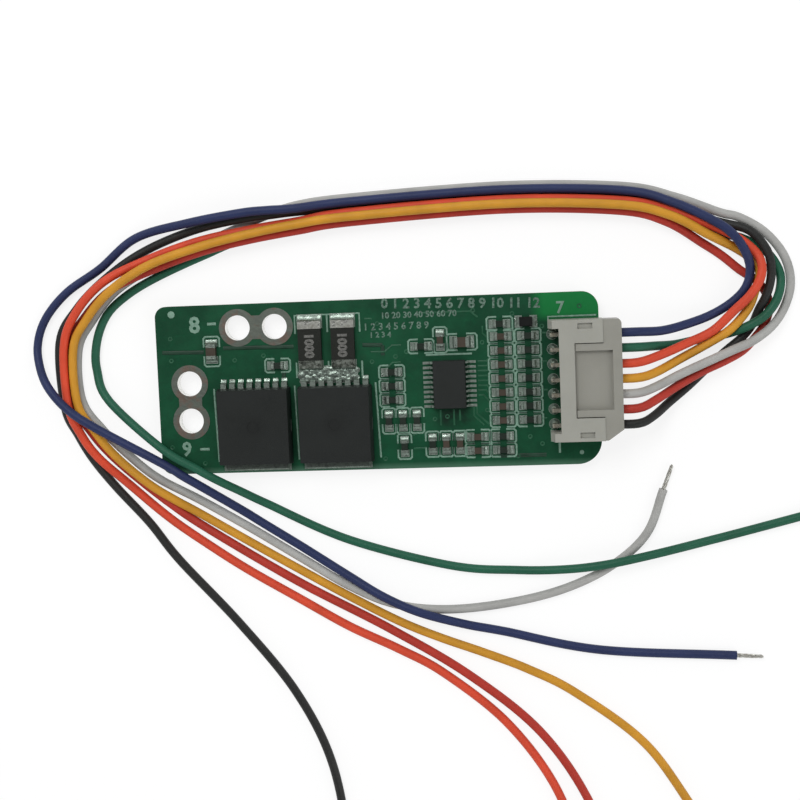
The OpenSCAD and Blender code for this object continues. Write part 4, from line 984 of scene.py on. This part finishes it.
class BOARD_OT_chips(bpy.types.Operator):
    """Monitor chip, diode, small resistors and capacitors"""

    bl_idname = "battery_board.chips"
    bl_label = "Chips"

    def execute(self, context):
        settings = context.scene.board_parts
        for name, base, grain, bump, rough, spread, nodes in (
                ("chip_mould", settings.chip, 0.08, 0.025, 0.48, 0.08, ("monitor_chip_body",)),
                ("diode_mould", tone(settings.chip, 0.3), 0.08, 0.02, 0.4, 0.12,
                 ("diode_body",)),
                ("resistor_glaze", settings.resistor, 0.1, 0.02, 0.35, 0.15,
                 ("balance_resistor_bodies", "small_resistor_bodies")),
                ("capacitor_ceramic", settings.capacitor, 0.1, 0.02, 0.45, 0.15,
                 ("filter_capacitor_bodies", "small_capacitor_bodies",
                  "large_capacitor_bodies"))):
            clothe(moulded(name, base, grain * MM, bump * MM, rough, spread).material, *nodes)
        return {"FINISHED"}


class BOARD_OT_connector(bpy.types.Operator):
    """Nylon of the header and of the plug in it"""

    bl_idname = "battery_board.connector"
    bl_label = "Connector"

    def execute(self, context):
        settings = context.scene.board_parts
        for name, base, node in (("header_nylon", settings.nylon, "header_housing"),
                                 ("plug_nylon", settings.plug_nylon, "plug_housing")):
            finish = moulded(name, base, 0.14 * MM, 0.012 * MM, 0.42, 0.035, 0.35)
            finish.shader.inputs["Subsurface Weight"].default_value = 0.12
            finish.shader.inputs["Subsurface Radius"].default_value = [
                r * MM for r in (0.8, 0.7, 0.5)]
            clothe(finish.material, node)
        return {"FINISHED"}


# ---- stage ----


def even_light(settings):
    """A world of even light, dimmer above the board, that the camera sees as white."""
    world = bpy.data.worlds.new("even_light")
    world.use_nodes = True
    tree = world.node_tree
    sky = tree.nodes["Background"]
    sky.inputs["Color"].default_value = (1, 1, 1, 1)
    look = tree.nodes.new("ShaderNodeTexCoord")
    split = tree.nodes.new("ShaderNodeSeparateXYZ")
    tent = tree.nodes.new("ShaderNodeMapRange")
    for socket, value in zip(("From Min", "From Max", "To Min", "To Max"),
                             (0.55, 0.85, settings.sky_level, settings.opening)):
        tent.inputs[socket].default_value = value
    tree.links.new(look.outputs["Generated"], split.inputs["Vector"])
    tree.links.new(split.outputs["Z"], tent.inputs["Value"])
    tree.links.new(tent.outputs["Result"], sky.inputs["Strength"])
    plain_sky = tree.nodes.new("ShaderNodeBackground")
    plain_sky.inputs["Color"].default_value = (1, 1, 1, 1)
    plain_sky.inputs["Strength"].default_value = 1.0
    seen = tree.nodes.new("ShaderNodeLightPath")
    choice = tree.nodes.new("ShaderNodeMixShader")
    tree.links.new(seen.outputs["Is Camera Ray"], choice.inputs["Fac"])
    tree.links.new(sky.outputs["Background"], choice.inputs[1])
    tree.links.new(plain_sky.outputs["Background"], choice.inputs[2])
    tree.links.new(choice.outputs["Shader"], tree.nodes["World Output"].inputs["Surface"])
    return world


def table_finish(settings):
    """Pale matt top that looks nearly white and still takes the object's shadow."""
    finish = Finish("table_top")
    grain = finish.noise(2 * MM, 3)
    finish.paint(finish.mix(grain, tone(settings.floor, 0.985), settings.floor))
    finish.shader.inputs["Roughness"].default_value = 0.85
    finish.shader.inputs["Specular IOR Level"].default_value = 0.1
    glow = finish.node("ShaderNodeEmission")
    glow.inputs["Color"].default_value = (1, 1, 1, 1)
    glow.inputs["Strength"].default_value = 1.12
    rays = finish.node("ShaderNodeLightPath").outputs
    direct = finish.math("MAXIMUM", rays["Is Camera Ray"], rays["Is Glossy Ray"])
    direct = finish.math("MAXIMUM", direct, rays["Is Transmission Ray"])
    blend = finish.node("ShaderNodeMixShader")
    finish.link(finish.math("MULTIPLY", direct, 0.72), blend.inputs["Fac"])
    finish.link(finish.shader.outputs["BSDF"], blend.inputs[1])
    finish.link(glow.outputs["Emission"], blend.inputs[2])
    finish.link(blend.outputs["Shader"], finish.tree.nodes["Material Output"].inputs["Surface"])
    return finish.material


def area_lamp(name, place, size, power):
    """A square lamp that shines at the board."""
    bpy.ops.object.light_add(type="AREA", location=place)
    lamp = bpy.context.view_layer.objects.active
    lamp.name = name
    lamp.data.size = size
    lamp.data.energy = power
    lamp.rotation_euler = (-Vector(place)).to_track_quat("-Z", "Y").to_euler()


class BOARD_OT_stage(bpy.types.Operator):
    """Table top, even light, lamps and camera"""

    bl_idname = "battery_board.stage"
    bl_label = "Stage"

    def execute(self, context):
        settings = context.scene.board_stage
        context.scene.view_settings.view_transform = "Standard"
        context.scene.world = even_light(settings)
        bpy.ops.mesh.primitive_grid_add(x_subdivisions=8, y_subdivisions=8, size=6)
        floor = context.view_layer.objects.active
        floor.name = "table_top"
        floor.data.materials.append(table_finish(settings))
        area_lamp("key_lamp", (-0.12, 0.28, 0.5), 0.28, settings.key_power)
        area_lamp("fill_lamp", (0.35, -0.25, 0.45), 0.4, settings.key_power * 0.5)
        bpy.ops.object.camera_add(location=settings.camera_at, rotation=settings.camera_turn)
        camera = context.view_layer.objects.active
        camera.data.lens = settings.lens
        camera.data.sensor_width = 36
        camera.data.clip_start = 0.01
        camera.data.clip_end = 20
        context.scene.camera = camera
        return {"FINISHED"}


# ---- panel and registration ----

OPERATORS = (
    BOARD_OT_stage, BOARD_OT_wires, BOARD_OT_wire_ends, BOARD_OT_bare_board, BOARD_OT_legend,
    BOARD_OT_power_rings, BOARD_OT_solder, BOARD_OT_solder_pool, BOARD_OT_transistors,
    BOARD_OT_shunts, BOARD_OT_chips, BOARD_OT_connector)
SETTINGS = (
    ("board_looks", BoardSettings), ("board_parts", PartSettings),
    ("board_wires", WireSettings), ("board_stage", StageSettings))


class BOARD_PT_panel(bpy.types.Panel):
    """Sizes, colours and pieces of the battery management board"""

    bl_idname = "BOARD_PT_panel"
    bl_label = "Battery board"
    bl_space_type = "VIEW_3D"
    bl_region_type = "UI"
    bl_category = "Battery board"

    def draw(self, context):
        for name, group in SETTINGS:
            box = self.layout.box()
            box.label(text=group.__doc__)
            for key in group.__annotations__:
                box.prop(getattr(context.scene, name), key)
        for operator in OPERATORS:
            self.layout.operator(operator.bl_idname)


def register():
    """Registers the settings, the pieces and the panel."""
    for name, group in SETTINGS:
        bpy.utils.register_class(group)
        setattr(bpy.types.Scene, name, PointerProperty(type=group))
    for operator in OPERATORS:
        bpy.utils.register_class(operator)
    bpy.utils.register_class(BOARD_PT_panel)


def unregister():
    """Takes the panel, the pieces and the settings away again."""
    bpy.utils.unregister_class(BOARD_PT_panel)
    for operator in reversed(OPERATORS):
        bpy.utils.unregister_class(operator)
    for name, group in reversed(SETTINGS):
        delattr(bpy.types.Scene, name)
        bpy.utils.unregister_class(group)


def main():
    """Builds every piece in order."""
    register()
    bpy.ops.battery_board.stage()
    bpy.ops.battery_board.wires()
    bpy.ops.battery_board.wire_ends()
    bpy.ops.battery_board.bare_board()
    bpy.ops.battery_board.legend()
    bpy.ops.battery_board.power_rings()
    bpy.ops.battery_board.solder()
    bpy.ops.battery_board.solder_pool()
    bpy.ops.battery_board.transistors()
    bpy.ops.battery_board.shunts()
    bpy.ops.battery_board.chips()
    bpy.ops.battery_board.connector()


if __name__ == "__main__":
    main()
